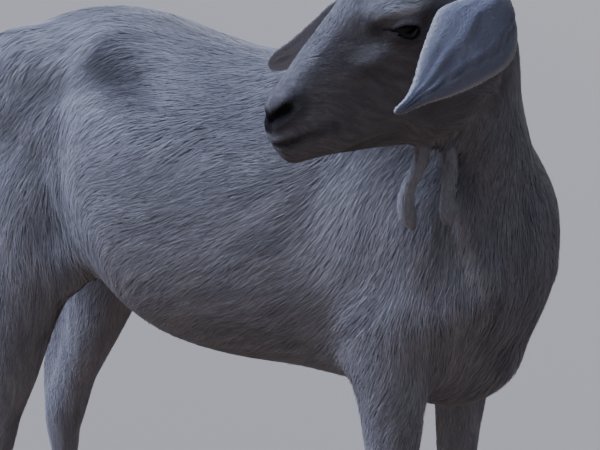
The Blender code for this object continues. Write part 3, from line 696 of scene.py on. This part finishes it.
def bare_share():
    """1 on naked dark skin: nose, lips, lid rims and tear corner."""
    near_nostril, beyond = off_path(folded_head, NOSTRIL)
    near_mouth, back = off_path(folded_head, MOUTH)
    nose = np.linalg.norm((folded_head - (0.1235, 0.0, -0.0080)) / (0.0150, 0.0150, 0.0130), axis=1)
    from_eye = folded_head - EYE_CENTRE
    gap = outside_opening(from_eye @ EYE_AHEAD, from_eye @ EYE_UP)
    gap = np.where((np.linalg.norm(from_eye, axis=1) < 0.026) & (from_eye @ EYE_OUT > 0), gap, 1.0)
    share = np.maximum.reduce((
        (1 - step(near_nostril, 0.0025, 0.0125)) * (1 - 0.5 * step(beyond, 0.6, 1.0)),
        (1 - step(near_mouth, 0.0010, 0.0060)) * (0.90 - 0.75 * step(back, 0.45, 0.90)),
        1 - step(nose, 0.70, 1.20),
        0.62 * (1 - step(gap, 0.0006, 0.0034)),
        0.34 * hump(folded_head, TEAR_CORNER, (0.012, 0.015, 0.010))))
    return np.where(is_ear | is_wattle, 0.0, share * head_share)


def grey_and_shade_share():
    """Darkening of the hair: dark skin through short hair, stains at knees and feet, and painted shade."""
    near_mouth, _ = off_path(folded_head, MOUTH)
    near_nostril, _ = off_path(folded_head, NOSTRIL)
    # Face: dark skin shows through the short hair at muzzle, mouth and nostrils; the grey over the whole
    # face, most on its sides and in the eye socket, is painted shade.
    sideways = step(np.abs((hide_normals @ HEAD_AXES)[:, 1]), 0.10, 0.70)
    face = [0.52 * step(folded_head[:, 0], 0.040, 0.105), 0.72 * (1 - step(near_mouth, 0.002, 0.020)),
            0.92 * (1 - step(near_nostril, 0.006, 0.028)), 0.45 + 0.05 * sideways]
    face += [share * hump(folded_head, centre, radii) for share, centre, radii in (
        (0.88, (0.000, 0.046, 0.048), (0.024, 0.030, 0.018)),         # eye socket
        (0.92, (0.022, 0.0385, 0.054), (0.015, 0.016, 0.014)),        # tear line
        (0.70, (0.026, 0.036, 0.024), (0.028, 0.026, 0.017)))]        # crest of the cheek
    # Painted shade on the cheek and jaw under the ear.
    shade_under_ear = 0.46 * hump(folded_head, (-0.020, 0.045, -0.030), (0.080, 0.045, 0.050))
    face = np.clip(np.maximum(np.maximum.reduce(face) * head_share, shade_under_ear) - 0.85 * BROW, 0, 1)
    # Painted shade under the belly, where the hide faces down; stains on the feet and knees.
    height = body[:, 2]
    under = step(-hide_normals[:, 2], -0.1, 0.8) * step(0.56 - height, 0.0, 0.12) * step(height, 0.30, 0.38)
    stains_and_shade = [face, 0.27 * under, 0.36 * (1 - step(height, 0.03, 0.17)),
              np.exp(-((height - 0.235) / 0.03) ** 2) * step(body[:, 0], -0.02, 0.03) * 0.20]
    # Painted shade on the throat, the breast and the side of the back.
    stains_and_shade += [share * hump(folded_body, centre, radii) for share, centre, radii in (
        (0.44, (0.090, 0.100, 0.640), (0.060, 0.070, 0.100)),         # throat
        (0.36, (0.125, 0.030, 0.560), (0.050, 0.080, 0.120)),         # breast
        (0.42, (-0.165, 0.100, 0.715), (0.130, 0.085, 0.060)))]       # side of the back
    # Painted shade in the hollow of the flank, under the hip and in the fold of the flank.
    stains_and_shade += [share * stroke(folded_body, path, width) for share, width, path in (
        (0.66, 0.028, ((-0.325, 0.095, 0.735), (-0.290, 0.097, 0.712), (-0.245, 0.108, 0.682))),
        (0.46, 0.020, ((-0.380, 0.102, 0.710), (-0.425, 0.104, 0.690), (-0.475, 0.105, 0.662))),
        (0.30, 0.022, curve_through(((-0.372, 0.115, 0.665), (-0.392, 0.115, 0.590),
                                     (-0.402, 0.112, 0.500)), 4)))]
    return np.where(is_ear, 0.0, np.where(is_wattle, 0.08, np.maximum.reduce(stains_and_shade)))


# Tones run from 0 at the darkest hair to 1 at the whitest.
PLAIN_TONE = 0.55
# Ear tones are painted light: the right ear, the far one, is near white as if lit through from behind.
LEFT_EAR_TONE, RIGHT_EAR_TONE = 0.60, 0.97
bare = bare_share()
# Painted shade: the nostril openings are darkened to near black.
nostril_gap, nostril_along = off_path(folded_head, NOSTRIL)
nostril_painted_shade = (1 - step(nostril_gap, -0.0010, 0.0085)) * (1 - step(nostril_along, 0.55, 1.0))
nostril_painted_shade = nostril_painted_shade * head_share * ~is_ear
# Greying of the hair: dark skin, stains and painted shade, with a little random blotching.
grey_and_shade = np.clip(grey_and_shade_share() + 0.05 * blotch, 0, 1)
brow_arc = BROW * head_share * ~is_ear
tone = (PLAIN_TONE + (0.080 + 0.030 * head_share) * streak + 0.02 * blotch + 0.10 * is_wattle
        + 0.30 * brow_arc)
margin = np.concatenate(ear_margins)
right_ear = local[is_ear, 1] < 0
# The left ear is darker, with a painted rim light along its margin.
tone[is_ear] = (np.where(right_ear, RIGHT_EAR_TONE, LEFT_EAR_TONE) + (0.45 - 0.40 * right_ear) * margin
                + 0.03 * streak[is_ear])
# Inside its margin the left ear, and a little the right, turns grey-blue: partly grey skin, partly painted
# sky light.
thin = np.zeros(points_in_all)
thin[is_ear] = np.where(right_ear, 0.12, 0.42) * (1 - margin)

# Painted highlight: the ridge from throat to breast and the shoulder are a little lighter, where light
# catches them.
lit_neck_ridge = curve_through(((0.096, 0.093, 0.625), (0.103, 0.089, 0.590), (0.118, 0.076, 0.545)), 4)
tone = (tone + 0.32 * stroke(folded_body, lit_neck_ridge, 0.011)
        + 0.14 * hump(folded_body, (0.000, 0.110, 0.590), (0.080, 0.070, 0.100)))


def set_field(target, name, values):
    values = np.ascontiguousarray(values, dtype=np.float32)
    target.attributes.new(name, "FLOAT", "POINT").data.foreach_set("value", values)


for name, values in (("bare", bare), ("grey_and_shade", grey_and_shade), ("tone", np.clip(tone, 0, 1)), ("thin", thin),
                     ("nostril_painted_shade", nostril_painted_shade)):
    set_field(mesh, name, values)

bpy.context.view_layer.objects.active = hide
hide.select_set(True)
bpy.ops.object.mode_set(mode="EDIT")
bpy.ops.mesh.select_all(action="SELECT")
bpy.ops.uv.smart_project(angle_limit=math.radians(60), island_margin=0.002)
bpy.ops.object.mode_set(mode="OBJECT")
mesh = hide.data
mesh.uv_layers.active.name = "OFBake"


def linear(text):
    """Linear red, green, blue and alpha of an sRGB hex colour."""
    parts = [int(text[i:i + 2], 16) / 255 for i in (1, 3, 5)]
    return [c / 12.92 if c <= 0.04045 else ((c + 0.055) / 1.055) ** 2.4 for c in parts] + [1.0]


def add(tree, kind, links=(), values=(), **settings):
    """New node with its settings, its fixed input values and its links from other sockets."""
    node = tree.nodes.new(kind)
    for key, value in settings.items():
        setattr(node, key, value)
    for key, value in dict(values).items():
        node.inputs[key].default_value = value
    for key, source in dict(links).items():
        tree.links.new(source, node.inputs[key])
    return node


def new_material(name):
    material = bpy.data.materials.new(name)
    material.use_nodes = True
    tree = material.node_tree
    tree.nodes.clear()
    return material, tree


def ramp(tree, source, stops):
    """Colour or grey value along a number, through stops of place and hex colour or value."""
    node = add(tree, "ShaderNodeValToRGB", {"Fac": source})
    band = node.color_ramp
    while len(band.elements) < len(stops):
        band.elements.new(0.5)
    for element, (place, colour) in zip(band.elements, stops):
        element.position = place
        element.color = linear(colour) if isinstance(colour, str) else (colour, colour, colour, 1)
    return node.outputs["Color"]


def blended(tree, share, one, other):
    """Mix of two colours or numbers, each a link or a fixed value."""
    node = add(tree, "ShaderNodeMix", data_type="RGBA")
    for socket, source in ((node.inputs[0], share), (node.inputs[6], one), (node.inputs[7], other)):
        if isinstance(source, bpy.types.NodeSocket):
            tree.links.new(source, socket)
        else:
            socket.default_value = source
    return node.outputs[2]


def field(tree, name):
    """Number kept at the points of a piece."""
    return add(tree, "ShaderNodeAttribute", attribute_name=name).outputs["Fac"]


# Goat hair: keratin, off-white with a cool cast, darker at the root as painted shade, smoky where it is
# short over dark skin, and greyed by painted shade where the form is shaded; the ears take a painted
# sky-blue light. It is matt, with a faint sheen along the locks.
HAIR_DARKEST = "#77757A"
HAIR_BODY = "#C0BEC2"
HAIR_TIP = "#F0EEEE"
HAIR_GREY_AND_SHADE = "#3B3638"
EAR_GREY_AND_SKY_BLUE = "#7A8DBA"


def hair_colour(tree):
    plain = ramp(tree, field(tree, "tone"), ((0.0, HAIR_DARKEST), (0.55, HAIR_BODY), (1.0, HAIR_TIP)))
    greyed_and_shaded = blended(tree, field(tree, "grey_and_shade"), plain, linear(HAIR_GREY_AND_SHADE))
    # Grey-blue of the ears: partly grey skin, partly painted sky light.
    return blended(tree, field(tree, "thin"), greyed_and_shaded, linear(EAR_GREY_AND_SKY_BLUE))


coat_material, tree = new_material("goat_hair")
shader = add(tree, "ShaderNodeBsdfPrincipled", {"Base Color": hair_colour(tree)},
             {"Roughness": 0.62, "IOR": 1.55, "Specular IOR Level": 0.35, "Sheen Weight": 0.12,
              "Sheen Roughness": 0.5})
add(tree, "ShaderNodeOutputMaterial", {"Surface": shader.outputs[0]})

# Living skin: the same pale tone where hair covers it, near-black and leathery on the nose and lips,
# with pores about a millimetre apart.
PORE_SPACING = 0.0011
hide_material, tree = new_material("goat_skin")
place = add(tree, "ShaderNodeTexCoord").outputs["Object"]
pores = add(tree, "ShaderNodeTexVoronoi", {"Vector": place}, {"Scale": 1 / PORE_SPACING},
            feature="DISTANCE_TO_EDGE")
mottle = add(tree, "ShaderNodeTexNoise", {"Vector": place}, {"Scale": 160.0, "Detail": 4.0})
naked = ramp(tree, mottle.outputs["Fac"], ((0.3, "#100F12"), (0.7, "#242023")))
covered = blended(tree, 0.30, hair_colour(tree), linear("#9A8F8A"))
colour = blended(tree, field(tree, "bare"), covered, naked)
# Painted shade fills the nostril openings near-black.
colour = blended(tree, field(tree, "nostril_painted_shade"), colour, linear("#0C0B0D"))
down = add(tree, "ShaderNodeTexNoise", {"Vector": place}, {"Scale": 900.0, "Detail": 3.0})
grooves = ramp(tree, pores.outputs["Distance"], ((0.0, 0.0), (0.12, 1.0)))
height = blended(tree, field(tree, "bare"), down.outputs["Fac"], grooves)
bump = add(tree, "ShaderNodeBump", {"Height": height}, {"Strength": 0.35, "Distance": 0.0006})
worn = blended(tree, field(tree, "nostril_painted_shade"), field(tree, "bare"), [0.0] * 4)
rough = ramp(tree, worn, ((0.0, 0.85), (1.0, 0.70)))
shader = add(tree, "ShaderNodeBsdfPrincipled",
             {"Base Color": colour, "Normal": bump.outputs[0], "Roughness": rough},
             {"IOR": 1.45, "Specular IOR Level": 0.16})
add(tree, "ShaderNodeOutputMaterial", {"Surface": shader.outputs[0]})
mesh.materials.append(hide_material)

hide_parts(*FUSED, *LOOSE)
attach(hide, "root")

# ---------------------------------------------------------------------------------------------
# Coat. Flat pointed locks of hair rooted in the hide and laid along the lie, nearly 3 cm long on the
# barrel and a few millimetres on face, ears and feet. Each is a strip bent over the form.
# ---------------------------------------------------------------------------------------------
BARREL_LENGTH = 0.027
EAR_LENGTH = 0.0042
WATTLE_HAIR_LENGTH = 0.0080
THINNEST = 0.00042            # width of the shortest lock, and what a longer one gains with its length
WIDTH_GAIN = 0.0155
ROOT_SUNK = 0.0006
STRIP_SHARE = 0.62            # how much of length times width a pointed lock covers
BODY_COVERAGE = 4.2           # layers of locks over each other, fewer on the head and the legs
LESS_ON_HEAD, LESS_ON_LEGS = 2.5, 2.5
EAR_COVERAGE = 0.95
WATTLE_COVERAGE = 2.0
LID_CLEARANCE = 0.0012


def hair_length():
    length = np.full(points_in_all, BARREL_LENGTH)
    for more, centre, radii in ((0.006, (-0.20, 0.0, 0.42), (0.20, 0.09, 0.05)),     # belly
                                (0.008, (-0.60, 0.07, 0.50), (0.035, 0.05, 0.16)),   # back of the thigh
                                (0.006, (0.08, 0.0, 0.43), (0.07, 0.06, 0.06)),      # breast
                                (0.005, (-0.10, 0.0, 0.80), (0.30, 0.02, 0.05))):    # line of the back
        length += more * hump(folded_body, centre, radii)
    length -= 0.009 * step(body[:, 2], 0.56, 0.68) * step(body[:, 0], 0.00, 0.06)    # neck
    length = length * (0.42 + 0.58 * step(body[:, 2], 0.32, 0.46))                   # legs
    length = length * (0.55 + 0.45 * step(body[:, 2], 0.07, 0.20))                   # feet
    length += 0.012 * step(-body[:, 0], 0.615, 0.640) * (body[:, 2] > 0.5)           # tail
    ahead, up = folded_head[:, 0], folded_head[:, 2]
    topwards = step((hide_normals @ HEAD_AXES)[:, 2], 0.1, 0.8)
    face = 0.0042 + 0.0052 * step(-ahead, 0.010, 0.075) - 0.0020 * step(ahead, 0.06, 0.10)
    face += 0.0026 * topwards * (1 - step(ahead, 0.075, 0.105))
    brow = hump(folded_head, (-0.006, 0.050, 0.067), (0.018, 0.012, 0.006))
    face += 0.0022 * step(-up, 0.030, 0.055) + 0.0035 * brow
    length = length * (1 - head_share) + face * head_share
    length *= 1 - 0.65 * hump(folded_head, (-0.085, 0.045, 0.056), (0.040, 0.030, 0.030))
    length[is_ear] = EAR_LENGTH
    length[is_wattle] = WATTLE_HAIR_LENGTH
    return length


length = hair_length()
width = THINNEST + WIDTH_GAIN * length
coverage = BODY_COVERAGE - LESS_ON_HEAD * head_share - LESS_ON_LEGS * (1 - step(body[:, 2], 0.30, 0.44))
coverage[is_ear] = EAR_COVERAGE
coverage[is_wattle] = WATTLE_COVERAGE
density = coverage / (STRIP_SHARE * length * width) * (1 - step(bare, 0.35, 0.75))
from_eye = folded_head - EYE_CENTRE
in_opening = outside_opening(from_eye @ EYE_AHEAD, from_eye @ EYE_UP) < LID_CLEARANCE
density[in_opening & (np.linalg.norm(from_eye, axis=1) < 0.022) & ~is_ear] = 0

finder = KDTree(points_in_all)
for i, point in enumerate(hide_points):
    finder.insert(point, i)
finder.balance()


def laid(places, reach, ways):
    """Move places a reach along their ways and set them back on the hide; also the nearest points."""
    moved = places + ways * reach[:, None]
    near = np.array([finder.find(p)[1] for p in moved])
    gap = ((moved - hide_points[near]) * hide_normals[near]).sum(axis=1)
    return moved - np.clip(gap, -0.006, 0.006)[:, None] * hide_normals[near], near


# The tips of neighbouring locks lean together over the light streaks.
LEAN = 0.045
FULL_LEAN_SLOPE = 900
MIDDLE_LIFT, TIP_LIFT = 0.075, 0.085            # shares of a lock's length
a, b = hide_edges[:, 0], hide_edges[:, 1]
edge = hide_points[b] - hide_points[a]
slope_share = (streak[b] - streak[a]) / np.maximum((edge ** 2).sum(axis=1), 1e-9)
slope = np.column_stack([np.bincount(a, slope_share * edge[:, k], points_in_all)
                         + np.bincount(b, slope_share * edge[:, k], points_in_all) for k in range(3)])
slope -= (slope * lie).sum(axis=1)[:, None] * lie
lean_share = np.clip(np.linalg.norm(slope, axis=1) / FULL_LEAN_SLOPE, 0, 1)
lean = unit(slope) * (LEAN * length * lean_share)[:, None]

middle_place, near = laid(hide_points, 0.5 * length, lie)
middle_arm = (middle_place + hide_normals[near] * (MIDDLE_LIFT * length)[:, None] + 0.4 * lean
              - hide_points)
onward = on_surface(0.5 * lie + 0.5 * lie[near], hide_normals[near])
tip_place, near = laid(middle_place, 0.5 * length, onward)
tip_arm = tip_place + hide_normals[near] * (TIP_LIFT * length)[:, None] + lean - hide_points

corner = hide_points[hide_faces]
face_area = 0.5 * np.linalg.norm(np.cross(corner[:, 1] - corner[:, 0], corner[:, 2] - corner[:, 0]), axis=1)
expected = face_area * density[hide_faces].mean(axis=1)
lock_count = int(expected.sum())
drawn = chance.random(lock_count) * expected.sum()
lock_face = np.searchsorted(np.cumsum(expected), drawn).clip(0, len(expected) - 1)
share = chance.dirichlet((1, 1, 1), lock_count)


def at_root(values):
    """Values at the hide's points, read at the root of each lock."""
    picked = values[hide_faces[lock_face]]
    return (picked * (share[:, :, None] if picked.ndim == 3 else share)).sum(axis=1)


# No two locks are alike: each has its own size, turn, roll and rise, and one in thirty strays.
TURN_DEGREES, ROLL_DEGREES = 5.0, 8.0
STRAY_SHARE, STRAY_RISE = 0.03, 0.05
ROOT_HALF, MIDDLE_HALF = 0.36, 0.50             # half widths as shares of a lock's width
root = at_root(hide_points)
up = unit(at_root(hide_normals))
way = on_surface(at_root(lie), up)
across = np.cross(up, way)
size = chance.uniform(0.72, 1.15, lock_count)
turn = np.tan(np.radians(chance.normal(0, TURN_DEGREES, lock_count)))
stray = (chance.random(lock_count) < STRAY_SHARE) * chance.uniform(0.4, 1.4, lock_count)
lock_length = at_root(length) * size
lock_width = at_root(width) * chance.uniform(0.7, 1.25, lock_count)
roll = np.tan(np.radians(chance.normal(0, ROLL_DEGREES, lock_count)))
rise = (STRAY_RISE * stray + chance.uniform(-0.01, 0.022, lock_count)) * lock_length
middle = (root + at_root(middle_arm) * size[:, None] + across * (turn * 0.5 * lock_length)[:, None]
          + up * (0.5 * rise)[:, None])
tip = (root + at_root(tip_arm) * size[:, None] + across * (turn * 1.15 * lock_length)[:, None]
       + up * rise[:, None])
low = root - up * ROOT_SUNK
edge_way = across + up * roll[:, None]
to_edge, to_middle_edge = (edge_way * (half * lock_width)[:, None] for half in (ROOT_HALF, MIDDLE_HALF))
strips = np.stack((low + to_edge, low - to_edge, middle + to_middle_edge, middle - to_middle_edge, tip),
                  axis=1)

# Tone of a lock at its five points: darker at the root as painted shade under the locks above it, a little
# lighter at the tip.
TONE_SPREAD = 0.08
TONE_ALONG = np.array((-0.13, -0.13, 0.0, 0.0, 0.04))
lock_tone = at_root(tone) + chance.normal(0, TONE_SPREAD, lock_count)
lock_fields = {"tone": np.clip(lock_tone[:, None] + TONE_ALONG, 0, 1),
               "grey_and_shade": np.clip(np.repeat(at_root(grey_and_shade)[:, None], 5, axis=1), 0, 1),
               "thin": np.repeat(at_root(thin)[:, None], 5, axis=1)}

# Each lock has a small patch of the hide's own map round its root.
PATCH = 0.0015
PATCH_CORNERS = PATCH * np.array(((-1, -1), (1, -1), (-1, 0), (1, 0), (0, 1)))
LOOP = np.array((0, 1, 3, 2, 2, 3, 4))          # a quad and a triangle over a lock's five points
flat_uv = table_of(mesh.uv_layers["OFBake"].data, "uv", 2).reshape(-1, 3, 2)[lock_face]
root_uv = (flat_uv * share[:, :, None]).sum(axis=1)
lock_uv = root_uv[:, None, :] + PATCH_CORNERS


def coat_piece(name, chosen):
    """One mesh of many locks, each a quad and a pointed triangle."""
    count = int(chosen.sum())
    coat = bpy.data.meshes.new(name)
    coat.vertices.add(5 * count)
    coat.loops.add(7 * count)
    coat.polygons.add(2 * count)
    coat.vertices.foreach_set("co", strips[chosen].ravel())
    first = np.arange(count)[:, None]
    coat.loops.foreach_set("vertex_index", (5 * first + LOOP).ravel())
    coat.polygons.foreach_set("loop_start", (7 * first + np.array((0, 4))).ravel())
    coat.polygons.foreach_set("loop_total", np.tile((4, 3), count))
    coat.update(calc_edges=True)
    coat.shade_smooth()
    coat.uv_layers.new(name="OFBake").data.foreach_set("uv", lock_uv[chosen][:, LOOP].ravel())
    for field_name, values in lock_fields.items():
        set_field(coat, field_name, values[chosen].ravel())
    coat.materials.append(coat_material)
    piece = shown(name, coat)
    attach(piece, "root")


of_ear = (is_ear | is_wattle)[hide_faces[lock_face, 0]]
of_head = (at_root(head_share) > 0.5) & ~of_ear
root_body = root - BODY_ORIGIN
loose = ~of_ear & ~of_head
of_neck = loose & (root_body[:, 2] > 0.60) & (root_body[:, 0] > 0.0)
of_fore = loose & ~of_neck & (root_body[:, 0] > -0.05)
of_barrel = loose & (root_body[:, 0] <= -0.05) & (root_body[:, 0] > -0.34)
of_hind_leg = loose & (root_body[:, 0] <= -0.34) & (root_body[:, 2] < 0.43)
of_quarter = loose & (root_body[:, 0] <= -0.34) & ~of_hind_leg
on_left = np.where(of_head, in_head(root)[:, 1] > 0, root_body[:, 1] > 0)
for part, chosen in (("head", of_head), ("ears_and_wattles", of_ear), ("neck", of_neck), ("fore", of_fore),
                     ("barrel", of_barrel), ("quarter", of_quarter), ("hind_leg", of_hind_leg)):
    if part in ("ears_and_wattles", "neck"):
        coat_piece("coat_" + part, chosen)
    else:
        coat_piece("coat_" + part + "_left", chosen & on_left)
        coat_piece("coat_" + part + "_right", chosen & ~on_left)

# ---------------------------------------------------------------------------------------------
# Eyes. Wet balls behind the lids, each one closed shell with a raised clear front. A flat map over
# that front carries the brown iris and the wide level pupil of a goat.
# ---------------------------------------------------------------------------------------------
CORNEA_ANGLE = math.radians(38)
CORNEA_RISE = 0.0010
IRIS_HALF = (0.0100, 0.0096)  # half width and half height of iris and pupil
PUPIL_HALF = (0.0056, 0.0021)
EYE_MAP = 0.04                # width of the flat map that lies over the front of a ball
EYE_BANDS, EYE_AROUND = 28, 48
POLE_GAP = 0.03

# Clear wet cornea over a dark iris: smooth, with one small soft highlight.
eye_material, tree = new_material("wet_eye")
front = add(tree, "ShaderNodeUVMap", uv_map="eye_front").outputs["UV"]


def oval(tree, source, wide, high):
    """Distance from the middle of the eye, 1 on an oval of these half sizes in metres."""
    scaled = add(tree, "ShaderNodeMapping", {"Vector": source},
                 {"Location": (-0.5 * EYE_MAP / wide, -0.5 * EYE_MAP / high, 0),
                  "Scale": (EYE_MAP / wide, EYE_MAP / high, 0)})
    return add(tree, "ShaderNodeVectorMath", {0: scaled.outputs[0]}, operation="LENGTH").outputs["Value"]


fibres = add(tree, "ShaderNodeTexNoise", {"Vector": front}, {"Scale": 90.0, "Detail": 3.0})
iris = ramp(tree, fibres.outputs["Fac"], ((0.3, "#120D0A"), (0.7, "#261C14")))
iris_edge = ramp(tree, oval(tree, front, *IRIS_HALF), ((0.72, 0.0), (0.98, 1.0)))
ball = blended(tree, iris_edge, iris, linear("#0A0807"))
pupil = ramp(tree, oval(tree, front, *PUPIL_HALF), ((0.90, 1.0), (1.0, 0.0)))
seen = blended(tree, pupil, ball, linear("#07070A"))
shader = add(tree, "ShaderNodeBsdfPrincipled", {"Base Color": seen},
             {"Roughness": 0.28, "IOR": 1.376, "Specular IOR Level": 0.22, "Coat Weight": 0.10,
              "Coat Roughness": 0.05})
add(tree, "ShaderNodeOutputMaterial", {"Surface": shader.outputs[0]})


def eyeball(name, node, side):
    rings, flat = [], []
    turn = np.arange(EYE_AROUND) * math.tau / EYE_AROUND
    for tilt in np.linspace(POLE_GAP, math.pi - POLE_GAP, EYE_BANDS):
        radius = EYE_RADIUS + CORNEA_RISE * max(0.0, 1 - (tilt / CORNEA_ANGLE) ** 2)
        ahead, up = radius * math.sin(tilt) * np.cos(turn), radius * math.sin(tilt) * np.sin(turn)
        ring = (EYE_CENTRE + ahead[:, None] * EYE_AHEAD + up[:, None] * EYE_UP
                + radius * math.cos(tilt) * EYE_OUT)
        rings.append(ring * (1, side, 1))
        flat.append(np.column_stack((ahead, up)))
    points, faces = tube_mesh(np.array(rings))
    flat = np.vstack((np.vstack(flat), (0, 0), (0, 0)))
    loose = outward(from_head(points), faces)
    ball = bpy.data.meshes.new(name)
    loose.to_mesh(ball)
    loose.free()
    corner_points = table_of(ball.loops, "vertex_index", 1, np.int32)
    place = 0.5 + flat[corner_points] / EYE_MAP
    ball.uv_layers.new(name="eye_front").data.foreach_set("uv", place.ravel())
    ball.shade_smooth()
    ball.materials.append(eye_material)
    piece = shown(name, ball)
    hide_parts(node)
    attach(piece, "root")


eyeball("eyeball_left", "eye_left", 1)
eyeball("eyeball_right", "eye_right", -1)

# ---------------------------------------------------------------------------------------------
# Claws and dewclaws. Grey-brown horn that grows down from the coronet in fine level rings. The
# solids keep their shape and take the finish of dry, worn, cloudy horn.
# ---------------------------------------------------------------------------------------------
RING_SPACING = 0.0032
horn_material, tree = new_material("claw_horn")
place = add(tree, "ShaderNodeTexCoord").outputs["Object"]
rings = add(tree, "ShaderNodeTexWave", {"Vector": place},
            {"Scale": 0.05 / RING_SPACING * math.tau, "Distortion": 3.0, "Detail": 3.0, "Detail Scale": 1.5},
            bands_direction="Z")
cloud = add(tree, "ShaderNodeTexNoise", {"Vector": place}, {"Scale": 70.0, "Detail": 5.0})
horn = ramp(tree, cloud.outputs["Fac"], ((0.3, "#3A332D"), (0.7, "#7A6E60")))
banded = blended(tree, 0.18, horn, ramp(tree, rings.outputs["Color"], ((0.0, "#4A4038"), (1.0, "#9A8D7C"))))
bump = add(tree, "ShaderNodeBump", {"Height": rings.outputs["Fac"]}, {"Strength": 0.15, "Distance": 0.0004})
shader = add(tree, "ShaderNodeBsdfPrincipled", {"Base Color": banded, "Normal": bump.outputs[0]},
             {"Roughness": 0.5, "IOR": 1.54})
add(tree, "ShaderNodeOutputMaterial", {"Surface": shader.outputs[0]})
for name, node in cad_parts.items():
    if "claw" in name:
        for slot in node.material_slots:
            slot.material = horn_material

# ---------------------------------------------------------------------------------------------
# Ground and light. A plain pale floor and a pale wall far off, the camera, one very wide light above
# and behind, one at the back, and an even fill.
# ---------------------------------------------------------------------------------------------
FLOOR_HALF = 40.0
floor_mesh = bpy.data.meshes.new("floor")
floor_mesh.from_pydata([(-FLOOR_HALF, -FLOOR_HALF, 0), (FLOOR_HALF, -FLOOR_HALF, 0),
                        (FLOOR_HALF, FLOOR_HALF, 0), (-FLOOR_HALF, FLOOR_HALF, 0)], [], [(0, 1, 2, 3)])
floor = shown("floor", floor_mesh)

# Matt pale paper, with a grain too fine to catch the light.
floor_material, tree = new_material("matt_paper")
place = add(tree, "ShaderNodeTexCoord").outputs["Object"]
grain = add(tree, "ShaderNodeTexNoise", {"Vector": place}, {"Scale": 400.0, "Detail": 3.0})
paper = ramp(tree, grain.outputs["Fac"], ((0.3, "#B5ADA0"), (0.7, "#BEB6A9")))
shader = add(tree, "ShaderNodeBsdfPrincipled", {"Base Color": paper}, {"Roughness": 0.9})
add(tree, "ShaderNodeOutputMaterial", {"Surface": shader.outputs[0]})
floor_mesh.materials.append(floor_material)
floor.visible_diffuse = False   # the fill from below is the world's, even and weaker than the paper's

# A pale wall of light stands round the floor, far off, so that low views have no dark horizon.
WALL_HEIGHT = 30.0
WALL_SIDES = 96
WALL_INSIDE = 0.98
wall_turn = np.arange(WALL_SIDES) * math.tau / WALL_SIDES
wall_ring = np.column_stack((np.cos(wall_turn), np.sin(wall_turn))) * FLOOR_HALF * WALL_INSIDE
wall_mesh = bpy.data.meshes.new("backdrop")
wall_mesh.from_pydata([(x, y, z) for z in (0.0, WALL_HEIGHT) for x, y in wall_ring], [],
                      [(i, (i + 1) % WALL_SIDES, WALL_SIDES + (i + 1) % WALL_SIDES, WALL_SIDES + i)
                       for i in range(WALL_SIDES)])
wall_material, tree = new_material("lit_backdrop")
glow = add(tree, "ShaderNodeEmission", (), {"Color": linear("#A2A4A8"), "Strength": 1.0})
add(tree, "ShaderNodeOutputMaterial", {"Surface": glow.outputs[0]})
wall_mesh.materials.append(wall_material)
wall = shown("backdrop", wall_mesh)
wall.visible_diffuse = wall.visible_glossy = wall.visible_shadow = False

# The camera looks a little down on the goat's right side, from before the shoulder.
CAMERA_FROM_WITHERS = Vector((0.645, -1.214, 0.858))
CAMERA_TURN, CAMERA_TILT = math.radians(33.0), math.radians(78.0)
camera_data = bpy.data.cameras.new("view")
camera_data.sensor_width = 36.0
camera_data.lens = 80.8
camera = shown("view", camera_data)
camera.matrix_world = (Matrix.Translation(body_place + CAMERA_FROM_WITHERS)
                       @ Matrix.Rotation(CAMERA_TURN, 4, "Z") @ Matrix.Rotation(CAMERA_TILT, 4, "X"))
bpy.context.scene.camera = camera


def soft_sun(name, towards, width_degrees, strength, colour):
    """Very wide sun shining from the given direction, as through a large diffuser."""
    lamp = bpy.data.lights.new(name, "SUN")
    lamp.angle, lamp.energy, lamp.color = math.radians(width_degrees), strength, linear(colour)[:3]
    stand = shown(name, lamp)
    stand.matrix_world = Vector(towards).to_track_quat("Z", "Y").to_matrix().to_4x4()


soft_sun("high_diffuser", (-0.66, -0.20, 0.68), 50, 4.2, "#CDDAFF")
soft_sun("back_rim", (-0.20, 0.92, 0.35), 24, 1.0, "#FFF2E0")

# Even fill: cool from above, warm from below.
world = bpy.data.worlds.new("studio")
world.use_nodes = True
tree = world.node_tree
tree.nodes.clear()
towards = add(tree, "ShaderNodeTexCoord").outputs["Generated"]
upwards = add(tree, "ShaderNodeSeparateXYZ", {0: towards}).outputs["Z"]
level = add(tree, "ShaderNodeMapRange", {0: upwards}, {1: -1.0, 2: 1.0})
fill = ramp(tree, level.outputs[0], ((0.25, "#A9968E"), (0.60, "#8E95A8"), (1.0, "#C4D0EC")))
backdrop = add(tree, "ShaderNodeBackground", {"Color": fill}, {"Strength": 0.38})
add(tree, "ShaderNodeOutputWorld", {"Surface": backdrop.outputs[0]})
bpy.context.scene.world = world
